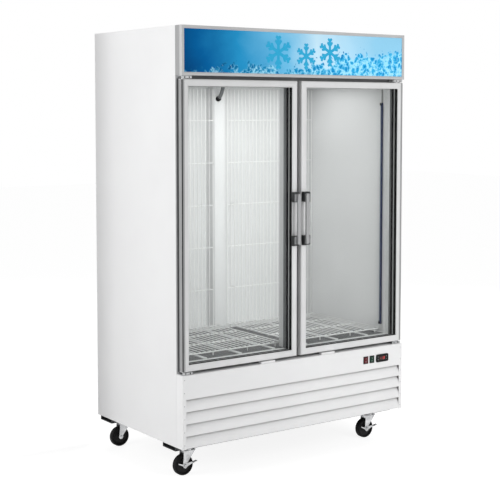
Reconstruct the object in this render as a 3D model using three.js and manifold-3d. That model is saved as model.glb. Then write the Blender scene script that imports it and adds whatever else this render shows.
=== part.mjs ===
// Upright two-door ice merchandiser freezer on four swivel casters, in millimetres.
//
// X runs along the front (+X is to the right of someone facing the doors), Y runs from the doors
// to the back and Z is up from the floor. While it is built, Y = 0 is the front plane of the
// header and of the base; the last section centres the whole freezer over the origin.

import * as THREE from 'three';
import { mergeVertices } from 'three/addons/utils/BufferGeometryUtils.js';
import Module from 'manifold-3d';

const wasm = await Module();
wasm.setup();

// ---------------------------------------------------------------------------------------------
// Driving dimensions
// ---------------------------------------------------------------------------------------------

// Cabinet
const CABINET_WIDTH = 1349;
const SHELL_DEPTH = 759;            // the foamed shell, without what stands in front of it
const FRONT_DEPTH = 54;             // doors, header and base front stand this far ahead of the shell
const BASE_HEIGHT = 344;
const GAP_BELOW_DOORS = 14.5;
const DOOR_HEIGHT = 1337;
const GAP_ABOVE_DOORS = 16;
const HEADER_HEIGHT = 225.5;
const SHEET = 1.5;                  // painted sheet steel
const CLEAR = 0.3;                  // seam between neighbouring pieces
const FLANGE = 16;                  // bent edges of the side panels
const TOP_LIP = 12;                 // turned-down edges of the top panel

// Insulated box
const SIDE_WALL = 50;
const BACK_WALL = 69;
const TOP_WALL = 60;
const FLOOR_WALL = 58;
const LINTEL_DEPTH = 45;
const LINER = 1.5;
const FLOOR_RIBS_PER_SIDE = 3;
const FLOOR_RIB_SPACING = 200;
const FLOOR_RIB_WIDTH = 22;
const FLOOR_RIB_HEIGHT = 6;

// Frame round the door openings
const SURROUND_THICKNESS = 2.7;
const SURROUND_SETBACK = 6;         // its outer edge from the side of the cabinet
const SURROUND_LIP = 22;            // how far its lip runs into the mouth
const LIP_THICKNESS = 1.5;
const MULLION_HALF_WIDTH = 46;
const MULLION_CAP_DEPTH = 22;
const MULLION_DEPTH = 65;
const MULLION_TAPER = 4;

// Doors
const DOOR_SIDE_INSET = 5.5;
const DOOR_CENTRE_GAP = 23;
const DOOR_SETBACK = 5;             // door faces behind the header's front plane
const DOOR_THICKNESS = 30;
const DOOR_FACE = 32;               // width of the stiles and rails
const DOOR_LIP = 4;                 // thickness of the lips that hold the glass
const DOOR_POCKET = 24;             // from the door's edge to the bottom of the glass pocket
const DOOR_EDGE_BREAK = 1.5;
const GASKET_INSET = 14;
const GASKET_WAIST = 4;
const HINGE_INSET = 13;             // pin from the edges of the door
const HINGE_PIN_RADIUS = 4;
const HINGE_PIN_ENGAGEMENT = 14;
const HINGE_PIN_CLEARANCE = 0.4;
const HINGE_PLATE_WIDTH = 54;
const HINGE_PLATE_THICKNESS = 4;
const HINGE_PLATE_SETBACK = 8;      // its front edge behind the header's front plane
const HINGE_COLLAR_RADIUS = 7;
const HINGE_LIP_GAP = 2.5;          // the plate's lips stop short of the door

// Door handles
const HANDLE_BOTTOM = 1052;
const HANDLE_LENGTH = 270;
const HANDLE_REACH = 35;
const HANDLE_MOUNT_LENGTH = 48;
const HANDLE_MOUNT_WIDTH = 25;
const HANDLE_ARM_HEIGHT = 24;
const HANDLE_CORNER = 8;
const HANDLE_FILLET = 7;
const HANDLE_BAR_WIDTH = 25;
const HANDLE_BAR_DEPTH = 10;
const HANDLE_BAR_EDGE = 2.5;        // width of its broken front edge
const HANDLE_BAR_SHORT = 7;         // its ends from the ends of the mounts

// Header
const HEADER_BORDER = 15;
const HEADER_FRAME_DEPTH = 17.7;
const HEADER_LIP = 3.5;
const HEADER_REBATE = 9;
const HEADER_PANEL_THICKNESS = 3;
const HEADER_LAMP_INSET = 70;
const HEADER_LAMP_HEIGHT = 24;
const HEADER_LAMP_DEPTH = 9;

// Louvred base front
const LOUVRE_COUNT = 4;
const LOUVRE_PITCH = 57;
const LOUVRE_BOTTOM = 4;            // last lip above the bottom of the cabinet
const LOUVRE_END = 27;              // width of the plain strips at both ends
const LOUVRE_DEPTH = 30;
const LOUVRE_LIP = 6;
const LOUVRE_OVERLAP = 4;
const LOUVRE_TUCK = 2;              // slats run on into the end strips

// Controls on the base front
const CONTROL_HEIGHT = 284;         // above the bottom of the cabinet
const SWITCH_WIDTH = 31;
const SWITCH_HEIGHT = 38;
const SWITCH_RIM = 3.5;
const SWITCH_PROUD = 3;
const SWITCH_BODY_DEPTH = 20;
const SWITCH_PITCH = 41;
const RED_SWITCH_INSET = 248;       // from the right-hand side of the cabinet
const ROCKER_TILT = THREE.MathUtils.degToRad(7);
const ROCKER_RISE = 2.6;
const ROCKER_CLEARANCE = 0.7;
const CONTROLLER_INSET = 137.5;
const CONTROLLER_WIDTH = 82;
const CONTROLLER_HEIGHT = 40;
const CONTROLLER_CORNER = 8;
const CONTROLLER_PROUD = 4;
const CONTROLLER_BODY_WIDTH = 70;
const CONTROLLER_BODY_HEIGHT = 28;
const CONTROLLER_BODY_DEPTH = 45;

// Base frame
const RAIL_HEIGHT = 24;
const RAIL_WIDTH = 112;
const RAIL_WALL = 3;
const RAIL_INSET = 8;               // rail ends from the sides of the cabinet
const FRONT_RAIL_SETBACK = 25;      // behind the front of the shell
const REAR_RAIL_SETBACK = 15;       // before its back
const TRAY_THICKNESS = 2;
const TRAY_EDGE = 30;

// Casters
const CASTER_HEIGHT = 137;
const CASTER_INSET = 111;           // swivel axes from the sides of the cabinet
const CASTER_TRAIL = 28;
const CASTER_PLATE = [96, 72, 3];
const WHEEL_RADIUS = 50;
const WHEEL_WIDTH = 30;
const WHEEL_SEGMENTS = 18;
const AXLE_RADIUS = 5;
const AXLE_CLEARANCE = 0.4;
const FORK_INSIDE = 35;
const FORK_SHEET = 3.5;
const FORK_CROWN = 64;
const FORK_CROWN_DROP = 17.5;
const RACE_RADIUS = 27;
const NUT_RADIUS = 8;
const NUT_THICKNESS = 4;
const BRAKE_SHEET = 3;
const BRAKE_PEDAL_WIDTH = 15;

// Inside the storage compartment
const LAMP_WIDTH = 14;
const LAMP_PROUD = 8;
const LAMP_Y = 109;
const LAMP_BOTTOM = 597;
const LAMP_LENGTH = 1157;
const MULLION_LAMP_WIDTH = 32;
const MULLION_LAMP_DEPTH = 15;
const CHANNEL_WIDTH = 72;
const CHANNEL_DEPTH = 52;
const CHANNEL_EDGE = 6;
const GUARD_STANDOFF = 58;          // from the back wall to the front of its upright wires
const GUARD_WIRE = 4;
const GUARD_ROWS = 5;
const GUARD_ROW_PITCH = 224;
const GUARD_FIRST_ROW = 764;
const GUARD_COLUMNS = 11;
const GUARD_SIDE_GAP = 6;
const GUARD_CENTRE_GAP = 8;
const GUARD_TOP_GAP = 24;
const RACK_SIDE_GAP = 6.5;
const RACK_CENTRE_GAP = 34;         // inner edge from the middle plane
const RACK_FRONT_GAP = 4;           // behind the mullion
const RACK_BACK_GAP = 6;            // before the back guards
const RACK_WIRE = 4;
const RACK_BEARER = 7;
const RACK_WIRES = 13;
const RACK_BEARERS = 4;
const RACK_LEG_HEIGHT = 28;
const RACK_END_LEG_INSET = 23;
const RACK_LEG_SPACING = 200;

// Cooling unit over the storage compartment
const EVAPORATOR_SIDE_GAP = 104.5;
const EVAPORATOR_SETBACK = 96;      // behind the front of the shell
const EVAPORATOR_STANDOFF = 89;     // before the back wall
const EVAPORATOR_HEIGHT = 188;
const FAN_OPENING_RADIUS = 112;
const FAN_RADIUS = 102;
const FAN_BLADES = 5;
const FAN_HUB_RADIUS = 24;
const FAN_HUB_LENGTH = 22;
const FAN_SHAFT_RADIUS = 4;
const FAN_SHAFT_CLEARANCE = 0.4;
const FAN_MOTOR_RADIUS = 38;
const FAN_MOTOR_LENGTH = 52;
const HOSE_RADIUS = 9;

// Machine compartment in the base
const COMPRESSOR_SIDE_INSET = 344.5;
const COMPRESSOR_BACK_INSET = 313;
const COMPRESSOR_RADIUS = 88;
const COMPRESSOR_HEIGHT = 205;
const CONDENSER_SIDE_INSET = 374.5;
const CONDENSER_SETBACK = 196;
const CONDENSER_WIDTH = 420;
const CONDENSER_HEIGHT = 270;
const CONDENSER_DEPTH = 70;
const CONDENSER_FINS = 17;
const GRILLE_SLOT_WIDTH = 8;
const GRILLE_SLOT_HEIGHT = 80;
const GRILLE_SLOT_PITCH = 30;
const GRILLE_COLUMNS = 14;
const GRILLE_ROWS = 2;

// ---------------------------------------------------------------------------------------------
// Levels and planes that follow from them
// ---------------------------------------------------------------------------------------------

const HALF_WIDTH = CABINET_WIDTH / 2;
const SHELL_FRONT = FRONT_DEPTH;
const SHELL_BACK = FRONT_DEPTH + SHELL_DEPTH;
const BOX_BOTTOM = CASTER_HEIGHT + RAIL_HEIGHT;
const BASE_TOP = BOX_BOTTOM + BASE_HEIGHT;
const DOOR_BOTTOM = BASE_TOP + GAP_BELOW_DOORS;
const DOOR_TOP = DOOR_BOTTOM + DOOR_HEIGHT;
const HEADER_BOTTOM = DOOR_TOP + GAP_ABOVE_DOORS;
const CABINET_TOP = HEADER_BOTTOM + HEADER_HEIGHT;

const INNER_HALF = HALF_WIDTH - SIDE_WALL;
const INNER_BACK = SHELL_BACK - BACK_WALL;
const INNER_TOP = CABINET_TOP - TOP_WALL;
const INNER_FLOOR = DOOR_BOTTOM + DOOR_FACE;
const MOUTH_TOP = DOOR_TOP - DOOR_FACE;
const FOAM_BOTTOM = INNER_FLOOR - FLOOR_WALL;

const BEHIND_FRONT_FLANGE = SHELL_FRONT + SHEET + CLEAR;
const BEFORE_BACK_FLANGE = SHELL_BACK - 2 * (SHEET + CLEAR);
const BETWEEN_SIDES = HALF_WIDTH - SHEET - CLEAR;
const SURROUND_FRONT = SHELL_FRONT - CLEAR - SURROUND_THICKNESS;

const DOOR_OUTER = HALF_WIDTH - DOOR_SIDE_INSET;
const DOOR_INNER = DOOR_CENTRE_GAP / 2;
const DOOR_BACK = DOOR_SETBACK + DOOR_THICKNESS;
const HINGE_X = DOOR_OUTER - HINGE_INSET;
const HINGE_Y = DOOR_SETBACK + DOOR_THICKNESS / 2;
const HANDLE_X = DOOR_INNER + DOOR_FACE / 2;
const HANDLE_FRONT = DOOR_SETBACK - HANDLE_REACH;

const EVAPORATOR_BOTTOM = INNER_TOP - CLEAR - EVAPORATOR_HEIGHT;
const CHANNEL_FRONT = INNER_BACK - CLEAR - CHANNEL_DEPTH;
const EVAPORATOR_HALF_WIDTH = INNER_HALF - EVAPORATOR_SIDE_GAP;
const EVAPORATOR_FRONT = SHELL_FRONT + EVAPORATOR_SETBACK;
const EVAPORATOR_BACK = INNER_BACK - EVAPORATOR_STANDOFF;
const CONTROL_Z = BOX_BOTTOM + CONTROL_HEIGHT;
const RED_SWITCH_X = HALF_WIDTH - RED_SWITCH_INSET;
const CONTROLLER_X = HALF_WIDTH - CONTROLLER_INSET;
const FRONT_RAIL_Y = SHELL_FRONT + FRONT_RAIL_SETBACK + RAIL_WIDTH / 2;
const REAR_RAIL_Y = SHELL_BACK - REAR_RAIL_SETBACK - RAIL_WIDTH / 2;
const GUARD_Y = INNER_BACK - GUARD_STANDOFF;
const RACK_WIDTH = INNER_HALF - RACK_SIDE_GAP - RACK_CENTRE_GAP;
const RACK_FRONT = SURROUND_FRONT + MULLION_DEPTH + RACK_FRONT_GAP;
const RACK_BACK = GUARD_Y - RACK_BACK_GAP;
const COMPRESSOR_X = HALF_WIDTH - COMPRESSOR_SIDE_INSET;
const COMPRESSOR_Y = SHELL_BACK - COMPRESSOR_BACK_INSET;
const CONDENSER_X = CONDENSER_SIDE_INSET - HALF_WIDTH;
const CONDENSER_Y = SHELL_FRONT + CONDENSER_SETBACK;

// ---------------------------------------------------------------------------------------------
// Materials
// ---------------------------------------------------------------------------------------------

const FINISHES = {
  white_paint: { color: 0xeceeef, roughness: 0.45, metalness: 0 },
  dark_plastic: { color: 0x35383b, roughness: 0.6, metalness: 0 },
  black_plastic: { color: 0x101112, roughness: 0.45, metalness: 0 },
  anodised: { color: 0xc9ccce, roughness: 0.35, metalness: 0.9 },
  brushed: { color: 0xa9acae, roughness: 0.3, metalness: 1 },
  zinc: { color: 0xb4b8ba, roughness: 0.4, metalness: 0.9 },
  dark_steel: { color: 0x3a3c3e, roughness: 0.5, metalness: 0.6 },
  tyre: { color: 0x111111, roughness: 0.7, metalness: 0 },
  glass: { color: 0xdfe9ec, roughness: 0.03, metalness: 0, transparent: true, opacity: 0.25 },
  seal: { color: 0x17181a, roughness: 0.8, metalness: 0 },
  lit_panel: { color: 0x4fb4de, roughness: 0.3, metalness: 0 },
  lamp: { color: 0xf4f8ff, roughness: 0.4, metalness: 0 },
  liner: { color: 0xdddfe0, roughness: 0.5, metalness: 0 },
  foam: { color: 0xe6d9a8, roughness: 0.9, metalness: 0 },
  white_wire: { color: 0xf2f3f3, roughness: 0.4, metalness: 0 },
  finned_coil: { color: 0x9ba0a3, roughness: 0.5, metalness: 0.8 },
  red_lens: { color: 0xa3262f, roughness: 0.3, metalness: 0 },
  green_lens: { color: 0x1e6a4a, roughness: 0.3, metalness: 0 },
};

// ---------------------------------------------------------------------------------------------
// Shape tools
// ---------------------------------------------------------------------------------------------

// Shared vertices are merged, collapsed triangles dropped and the faces turned outwards.
function closed(geometry) {
  const bare = geometry.clone();
  bare.deleteAttribute('normal');
  bare.deleteAttribute('uv');
  const merged = mergeVertices(bare, 1e-4);
  const position = merged.getAttribute('position');
  const index = merged.getIndex().array;
  const corner = [new THREE.Vector3(), new THREE.Vector3(), new THREE.Vector3()];
  const kept = [];
  let volume = 0;
  for (let i = 0; i < index.length; i += 3) {
    const [a, b, c] = index.slice(i, i + 3);
    if (a === b || b === c || c === a) continue;
    [a, b, c].forEach((vertex, k) => corner[k].fromBufferAttribute(position, vertex));
    volume += corner[0].dot(corner[1].cross(corner[2]));
    kept.push(a, b, c);
  }
  if (volume < 0) kept.reverse();
  merged.setIndex(kept);
  return merged;
}

function toSolid(geometry) {
  const tidy = closed(geometry);
  const vertProperties = new Float32Array(tidy.getAttribute('position').array);
  const triVerts = new Uint32Array(tidy.getIndex().array);
  return new wasm.Manifold(new wasm.Mesh({ numProp: 3, vertProperties, triVerts }));
}

function toGeometry(solid) {
  const mesh = solid.getMesh();
  const geometry = new THREE.BufferGeometry();
  geometry.setAttribute('position', new THREE.BufferAttribute(mesh.vertProperties, 3));
  geometry.setIndex(new THREE.BufferAttribute(mesh.triVerts, 1));
  return geometry;
}

function join(first, ...others) {
  return toGeometry(others.reduce((whole, other) => whole.add(toSolid(other)), toSolid(first)));
}

function cut(body, ...tools) {
  return toGeometry(tools.reduce((whole, tool) => whole.subtract(toSolid(tool)), toSolid(body)));
}

function block([x0, x1], [y0, y1], [z0, z1]) {
  const box = new THREE.BoxGeometry(x1 - x0, y1 - y0, z1 - z0);
  return box.translate((x0 + x1) / 2, (y0 + y1) / 2, (z0 + z1) / 2);
}

function outline(points) {
  return new THREE.Shape(points.map(([u, v]) => new THREE.Vector2(u, v)));
}

function rounded(width, height, radius, u = 0, v = 0) {
  const [w, h] = [width / 2 - radius, height / 2 - radius];
  const shape = new THREE.Shape();
  shape.absarc(u + w, v + h, radius, 0, Math.PI / 2);
  shape.absarc(u - w, v + h, radius, Math.PI / 2, Math.PI);
  shape.absarc(u - w, v - h, radius, Math.PI, 1.5 * Math.PI);
  shape.absarc(u + w, v - h, radius, 1.5 * Math.PI, 2 * Math.PI);
  return shape;
}

function extruded(shape, length, curveSegments) {
  return new THREE.ExtrudeGeometry(shape, { depth: length, bevelEnabled: false, curveSegments });
}

// The outline is in (Y, Z) and runs from one X to another.
function alongX(shape, x0, x1, curveSegments = 4) {
  const turn = new THREE.Matrix4().makeBasis(
    new THREE.Vector3(0, 1, 0), new THREE.Vector3(0, 0, 1), new THREE.Vector3(1, 0, 0));
  return extruded(shape, x1 - x0, curveSegments).applyMatrix4(turn).translate(x0, 0, 0);
}

// The outline is in (X, Z) and runs from one Y to another.
function alongY(shape, y0, y1, curveSegments = 4) {
  return extruded(shape, y1 - y0, curveSegments).rotateX(Math.PI / 2).translate(0, y1, 0);
}

// The outline is in (X, Y) and runs from one Z to another.
function alongZ(shape, z0, z1, curveSegments = 4) {
  return extruded(shape, z1 - z0, curveSegments).translate(0, 0, z0);
}

// A turned piece: the profile is in (radius, distance along the axis).
function turned(profile, segments = 16) {
  return new THREE.LatheGeometry(profile.map(([r, h]) => new THREE.Vector2(r, h)), segments);
}

function turnedUpright(profile, segments = 16) {
  return turned(profile, segments).rotateX(Math.PI / 2);
}

// A rod along Z or along Y.
function rodZ(radius, x, y, z0, z1, segments = 12) {
  const rod = new THREE.CylinderGeometry(radius, radius, z1 - z0, segments);
  return rod.rotateX(Math.PI / 2).translate(x, y, (z0 + z1) / 2);
}

function rodY(radius, x, z, y0, y1, segments = 12) {
  const rod = new THREE.CylinderGeometry(radius, radius, y1 - y0, segments);
  return rod.translate(x, (y0 + y1) / 2, z);
}

// A mitred frame round a rectangle in the XZ plane. Its section is in (distance in from the outer
// edge, Y). A four-sided revolve makes the mitres, and its quarters are then drawn apart.
function mitredFrame([x0, x1], [z0, z1], section) {
  const reach = 1 + Math.max(...section.map(([inset]) => inset));
  const loop = [...section, section[0]];
  const points = loop.map(([inset, y]) => new THREE.Vector2((reach - inset) * Math.SQRT2, y));
  const frame = new THREE.LatheGeometry(points, 4, Math.PI / 4);
  const position = frame.getAttribute('position');
  const [stretchX, stretchZ] = [(x1 - x0) / 2 - reach, (z1 - z0) / 2 - reach];
  for (let i = 0; i < position.count; i += 1) {
    const [x, z] = [position.getX(i), position.getZ(i)];
    position.setXYZ(i, x + Math.sign(x) * stretchX, position.getY(i), z + Math.sign(z) * stretchZ);
  }
  return frame.translate((x0 + x1) / 2, 0, (z0 + z1) / 2);
}

// Left-hand pieces are the right-hand ones mirrored in the middle plane.
function mirrored(geometry) {
  return geometry.clone().scale(-1, 1, 1);
}

const freezer = new THREE.Group();

function add(name, geometry, finish) {
  const material = new THREE.MeshStandardMaterial({ ...FINISHES[finish], flatShading: true });
  const mesh = new THREE.Mesh(closed(geometry), material);
  mesh.name = name;
  freezer.add(mesh);
  return mesh;
}

function addPair(name, geometry, finish) {
  add(`left_${name}`, mirrored(geometry), finish);
  add(`right_${name}`, geometry, finish);
}

// ---------------------------------------------------------------------------------------------
// Cabinet shell: side panels, top and back
// ---------------------------------------------------------------------------------------------

function sidePanel() {
  const inside = HALF_WIDTH - SHEET;
  const plan = outline([
    [HALF_WIDTH, SHELL_FRONT],
    [HALF_WIDTH, SHELL_BACK],
    [inside, SHELL_BACK],
    [inside, SHELL_BACK - SHEET - CLEAR],
    [HALF_WIDTH - FLANGE, SHELL_BACK - SHEET - CLEAR],
    [HALF_WIDTH - FLANGE, SHELL_BACK - 2 * SHEET - CLEAR],
    [inside, SHELL_BACK - 2 * SHEET - CLEAR],
    [inside, SHELL_FRONT + SHEET],
    [HALF_WIDTH - FLANGE, SHELL_FRONT + SHEET],
    [HALF_WIDTH - FLANGE, SHELL_FRONT],
  ]);
  return alongZ(plan, BOX_BOTTOM, CABINET_TOP);
}

function topPanel() {
  const section = outline([
    [-BETWEEN_SIDES, CABINET_TOP - TOP_LIP],
    [-BETWEEN_SIDES, CABINET_TOP],
    [BETWEEN_SIDES, CABINET_TOP],
    [BETWEEN_SIDES, CABINET_TOP - TOP_LIP],
    [BETWEEN_SIDES - SHEET, CABINET_TOP - TOP_LIP],
    [BETWEEN_SIDES - SHEET, CABINET_TOP - SHEET],
    [-BETWEEN_SIDES + SHEET, CABINET_TOP - SHEET],
    [-BETWEEN_SIDES + SHEET, CABINET_TOP - TOP_LIP],
  ]);
  return alongY(section, BEHIND_FRONT_FLANGE, BEFORE_BACK_FLANGE);
}

function backPanel() {
  const span = [-BETWEEN_SIDES, BETWEEN_SIDES];
  return block(span, [SHELL_BACK - SHEET, SHELL_BACK], [FOAM_BOTTOM, CABINET_TOP]);
}

addPair('side_panel', sidePanel(), 'white_paint');
add('top_panel', topPanel(), 'white_paint');
add('back_panel', backPanel(), 'white_paint');

// ---------------------------------------------------------------------------------------------
// Insulated box: foam body and inner liner, a wide room behind a lower mouth
// ---------------------------------------------------------------------------------------------

// The room and its mouth, grown outwards by a margin and opened at the given front plane.
function storageRoom(margin, front) {
  const lintelBack = BEHIND_FRONT_FLANGE + LINTEL_DEPTH + LINER + CLEAR;
  const span = [-INNER_HALF - margin, INNER_HALF + margin];
  const bottom = INNER_FLOOR - margin;
  const room = block(span, [lintelBack - margin, INNER_BACK + margin], [bottom, INNER_TOP + margin]);
  const mouth = block(span, [front, lintelBack], [bottom, MOUTH_TOP + margin]);
  return join(room, mouth);
}

function insulationBody() {
  const half = BETWEEN_SIDES - SHEET - CLEAR;
  const depth = [BEHIND_FRONT_FLANGE, BEFORE_BACK_FLANGE];
  const foam = block([-half, half], depth, [FOAM_BOTTOM, CABINET_TOP - SHEET - CLEAR]);
  return cut(foam, storageRoom(LINER + CLEAR, 0));
}

function innerLiner() {
  const tub = cut(storageRoom(LINER, SHELL_FRONT), storageRoom(0, 0));
  const ribDepth = [RACK_FRONT, RACK_BACK];
  const ribHeight = [INNER_FLOOR - LINER / 2, INNER_FLOOR + FLOOR_RIB_HEIGHT];
  const ribs = [];
  for (let i = 0; i < FLOOR_RIBS_PER_SIDE; i += 1) {
    const x = (i + 0.5) * FLOOR_RIB_SPACING;
    const span = [x - FLOOR_RIB_WIDTH / 2, x + FLOOR_RIB_WIDTH / 2];
    ribs.push(block(span, ribDepth, ribHeight));
    ribs.push(mirrored(block(span, ribDepth, ribHeight)));
  }
  return join(tub, ...ribs);
}

add('insulation_body', insulationBody(), 'foam');
add('inner_liner', innerLiner(), 'liner');

// ---------------------------------------------------------------------------------------------
// Frame round the door openings, and the mullion between them
// ---------------------------------------------------------------------------------------------

function doorSurround() {
  const half = HALF_WIDTH - SURROUND_SETBACK;
  const face = outline([
    [-half, BASE_TOP + CLEAR],
    [half, BASE_TOP + CLEAR],
    [half, HEADER_BOTTOM - CLEAR],
    [-half, HEADER_BOTTOM - CLEAR],
  ]);
  const mouth = [
    [-INNER_HALF, INNER_FLOOR],
    [INNER_HALF, INNER_FLOOR],
    [INNER_HALF, MOUTH_TOP],
    [-INNER_HALF, MOUTH_TOP],
  ];
  face.holes.push(outline(mouth));
  const plate = alongY(face, SURROUND_FRONT, SURROUND_FRONT + SURROUND_THICKNESS);
  const lip = mitredFrame(
    [-INNER_HALF - SURROUND_THICKNESS, INNER_HALF + SURROUND_THICKNESS],
    [INNER_FLOOR - SURROUND_THICKNESS, MOUTH_TOP + SURROUND_THICKNESS],
    [
      [0, SURROUND_FRONT],
      [SURROUND_THICKNESS + CLEAR + LIP_THICKNESS, SURROUND_FRONT],
      [SURROUND_THICKNESS + CLEAR + LIP_THICKNESS, SURROUND_FRONT + SURROUND_LIP],
      [SURROUND_THICKNESS + CLEAR, SURROUND_FRONT + SURROUND_LIP],
      [SURROUND_THICKNESS + CLEAR, SURROUND_FRONT + SURROUND_THICKNESS],
      [0, SURROUND_FRONT + SURROUND_THICKNESS],
    ]);
  return join(plate, lip);
}

function mullion() {
  const cap = SURROUND_FRONT + MULLION_CAP_DEPTH;
  const back = SURROUND_FRONT + MULLION_DEPTH;
  const narrow = MULLION_HALF_WIDTH - MULLION_TAPER;
  const plan = outline([
    [-MULLION_HALF_WIDTH, SURROUND_FRONT],
    [MULLION_HALF_WIDTH, SURROUND_FRONT],
    [MULLION_HALF_WIDTH, cap],
    [narrow, cap],
    [narrow, back - MULLION_TAPER],
    [narrow - MULLION_TAPER, back],
    [MULLION_TAPER - narrow, back],
    [-narrow, back - MULLION_TAPER],
    [-narrow, cap],
    [-MULLION_HALF_WIDTH, cap],
  ]);
  const seat = LIP_THICKNESS + 2 * CLEAR;
  return alongZ(plan, INNER_FLOOR + seat, MOUTH_TOP - seat);
}

add('door_surround', doorSurround(), 'dark_plastic');
add('mullion', mullion(), 'dark_plastic');

// ---------------------------------------------------------------------------------------------
// Doors: mitred frame, sealed glass unit and magnetic gasket
// ---------------------------------------------------------------------------------------------

const DOOR_SPAN = [DOOR_INNER, DOOR_OUTER];
const DOOR_RISE = [DOOR_BOTTOM, DOOR_TOP];

function doorFrame() {
  const frame = mitredFrame(DOOR_SPAN, DOOR_RISE, [
    [0, DOOR_SETBACK + DOOR_EDGE_BREAK],
    [DOOR_EDGE_BREAK, DOOR_SETBACK],
    [DOOR_FACE, DOOR_SETBACK],
    [DOOR_FACE, DOOR_SETBACK + DOOR_LIP],
    [DOOR_POCKET, DOOR_SETBACK + DOOR_LIP],
    [DOOR_POCKET, DOOR_BACK - DOOR_LIP],
    [DOOR_FACE, DOOR_BACK - DOOR_LIP],
    [DOOR_FACE, DOOR_BACK],
    [0, DOOR_BACK],
  ]);
  const holeRadius = HINGE_PIN_RADIUS + HINGE_PIN_CLEARANCE;
  const holeDepth = HINGE_PIN_ENGAGEMENT + CLEAR;
  const topHole = rodZ(holeRadius, HINGE_X, HINGE_Y, DOOR_TOP - holeDepth, DOOR_TOP + 1);
  const bottomHole = rodZ(holeRadius, HINGE_X, HINGE_Y, DOOR_BOTTOM - 1, DOOR_BOTTOM + holeDepth);
  return cut(frame, topHole, bottomHole);
}

function doorGlass() {
  const edge = DOOR_POCKET + CLEAR;
  const depth = [DOOR_SETBACK + DOOR_LIP + CLEAR, DOOR_BACK - DOOR_LIP - CLEAR];
  const span = [DOOR_INNER + edge, DOOR_OUTER - edge];
  return block(span, depth, [DOOR_BOTTOM + edge, DOOR_TOP - edge]);
}

function doorGasket() {
  const span = [DOOR_INNER + GASKET_INSET, DOOR_OUTER - GASKET_INSET];
  const rise = [DOOR_BOTTOM + GASKET_INSET, DOOR_TOP - GASKET_INSET];
  const width = DOOR_FACE - GASKET_INSET;
  const front = DOOR_BACK + CLEAR;
  const back = SURROUND_FRONT - CLEAR;
  const bellows = (back - front) / 4;
  return mitredFrame(span, rise, [
    [0, front],
    [width, front],
    [width - GASKET_WAIST, front + bellows],
    [width - GASKET_WAIST, back - bellows],
    [width, back],
    [0, back],
    [GASKET_WAIST, back - bellows],
    [GASKET_WAIST, front + bellows],
  ]);
}

addPair('door_frame', doorFrame(), 'anodised');
addPair('door_glass', doorGlass(), 'glass');
addPair('door_gasket', doorGasket(), 'seal');

// ---------------------------------------------------------------------------------------------
// Handles: a long bar with round ends on two elbow mounts on the meeting stile
// ---------------------------------------------------------------------------------------------

const HANDLE_BAR_BACK = HANDLE_FRONT + HANDLE_BAR_DEPTH;

// Side view (Y, Z) of the upper mount: an arm from the door that widens down behind the bar.
function handleMount(top) {
  const bottom = top - HANDLE_MOUNT_LENGTH;
  const front = HANDLE_BAR_BACK + CLEAR;
  const side = new THREE.Shape();
  side.moveTo(DOOR_SETBACK - CLEAR, top - HANDLE_ARM_HEIGHT);
  side.lineTo(DOOR_SETBACK - CLEAR, top);
  side.absarc(front + HANDLE_CORNER, top - HANDLE_CORNER, HANDLE_CORNER, Math.PI / 2, Math.PI);
  side.lineTo(front, bottom);
  side.lineTo(front + HANDLE_FILLET, bottom);
  side.absarc(
    front + 2 * HANDLE_FILLET, top - HANDLE_ARM_HEIGHT - HANDLE_FILLET, HANDLE_FILLET,
    Math.PI, Math.PI / 2, true);
  const half = HANDLE_MOUNT_WIDTH / 2;
  return alongX(side, HANDLE_X - half, HANDLE_X + half, 6);
}

const HANDLE_TOP = HANDLE_BOTTOM + HANDLE_LENGTH;
const HANDLE_MIDDLE = HANDLE_BOTTOM + HANDLE_LENGTH / 2;

function lowerHandleMount() {
  const upper = handleMount(HANDLE_TOP).translate(0, 0, -HANDLE_MIDDLE);
  return upper.scale(1, 1, -1).translate(0, 0, HANDLE_MIDDLE);
}

// The front face of the bar is a little smaller than its body, which breaks its edges.
function handleBar() {
  const length = HANDLE_LENGTH - 2 * HANDLE_BAR_SHORT;
  const body = rounded(
    HANDLE_BAR_WIDTH, length, HANDLE_BAR_WIDTH / 2, HANDLE_X, HANDLE_MIDDLE);
  const face = rounded(
    HANDLE_BAR_WIDTH - 2 * HANDLE_BAR_EDGE, length - 2 * HANDLE_BAR_EDGE,
    HANDLE_BAR_WIDTH / 2 - HANDLE_BAR_EDGE, HANDLE_X, HANDLE_MIDDLE);
  const shoulder = HANDLE_FRONT + HANDLE_BAR_EDGE;
  return join(
    alongY(body, shoulder, HANDLE_BAR_BACK, 4),
    alongY(face, HANDLE_FRONT, shoulder + 1, 4));
}

addPair('handle_upper_mount', handleMount(HANDLE_TOP), 'dark_plastic');
addPair('handle_lower_mount', lowerHandleMount(), 'dark_plastic');
addPair('handle_bar', handleBar(), 'brushed');

// ---------------------------------------------------------------------------------------------
// Door hinges: bent plates in the gaps above and below the doors, each with its pin
// ---------------------------------------------------------------------------------------------

// The upper right hinge, with its heights measured from the top edge of the door.
function hingeBracket(gap) {
  const top = gap - CLEAR;
  const back = SURROUND_FRONT - CLEAR;
  const front = HINGE_PLATE_SETBACK;
  const lip = HINGE_PLATE_THICKNESS - 1;
  const span = [DOOR_OUTER - HINGE_PLATE_WIDTH, DOOR_OUTER];
  return join(
    block(span, [front, back], [top - HINGE_PLATE_THICKNESS, top]),
    block(span, [front, front + lip], [HINGE_LIP_GAP, top]),
    block(span, [back - lip, back], [HINGE_LIP_GAP, top]),
    rodZ(HINGE_COLLAR_RADIUS, HINGE_X, HINGE_Y, CLEAR, top - 1),
    rodZ(HINGE_PIN_RADIUS, HINGE_X, HINGE_Y, -HINGE_PIN_ENGAGEMENT, top - 2));
}

const upperHinge = hingeBracket(GAP_ABOVE_DOORS).translate(0, 0, DOOR_TOP);
const lowerHinge = hingeBracket(GAP_BELOW_DOORS).scale(1, 1, -1).translate(0, 0, DOOR_BOTTOM);

addPair('upper_hinge', upperHinge, 'zinc');
addPair('lower_hinge', lowerHinge, 'zinc');

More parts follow.
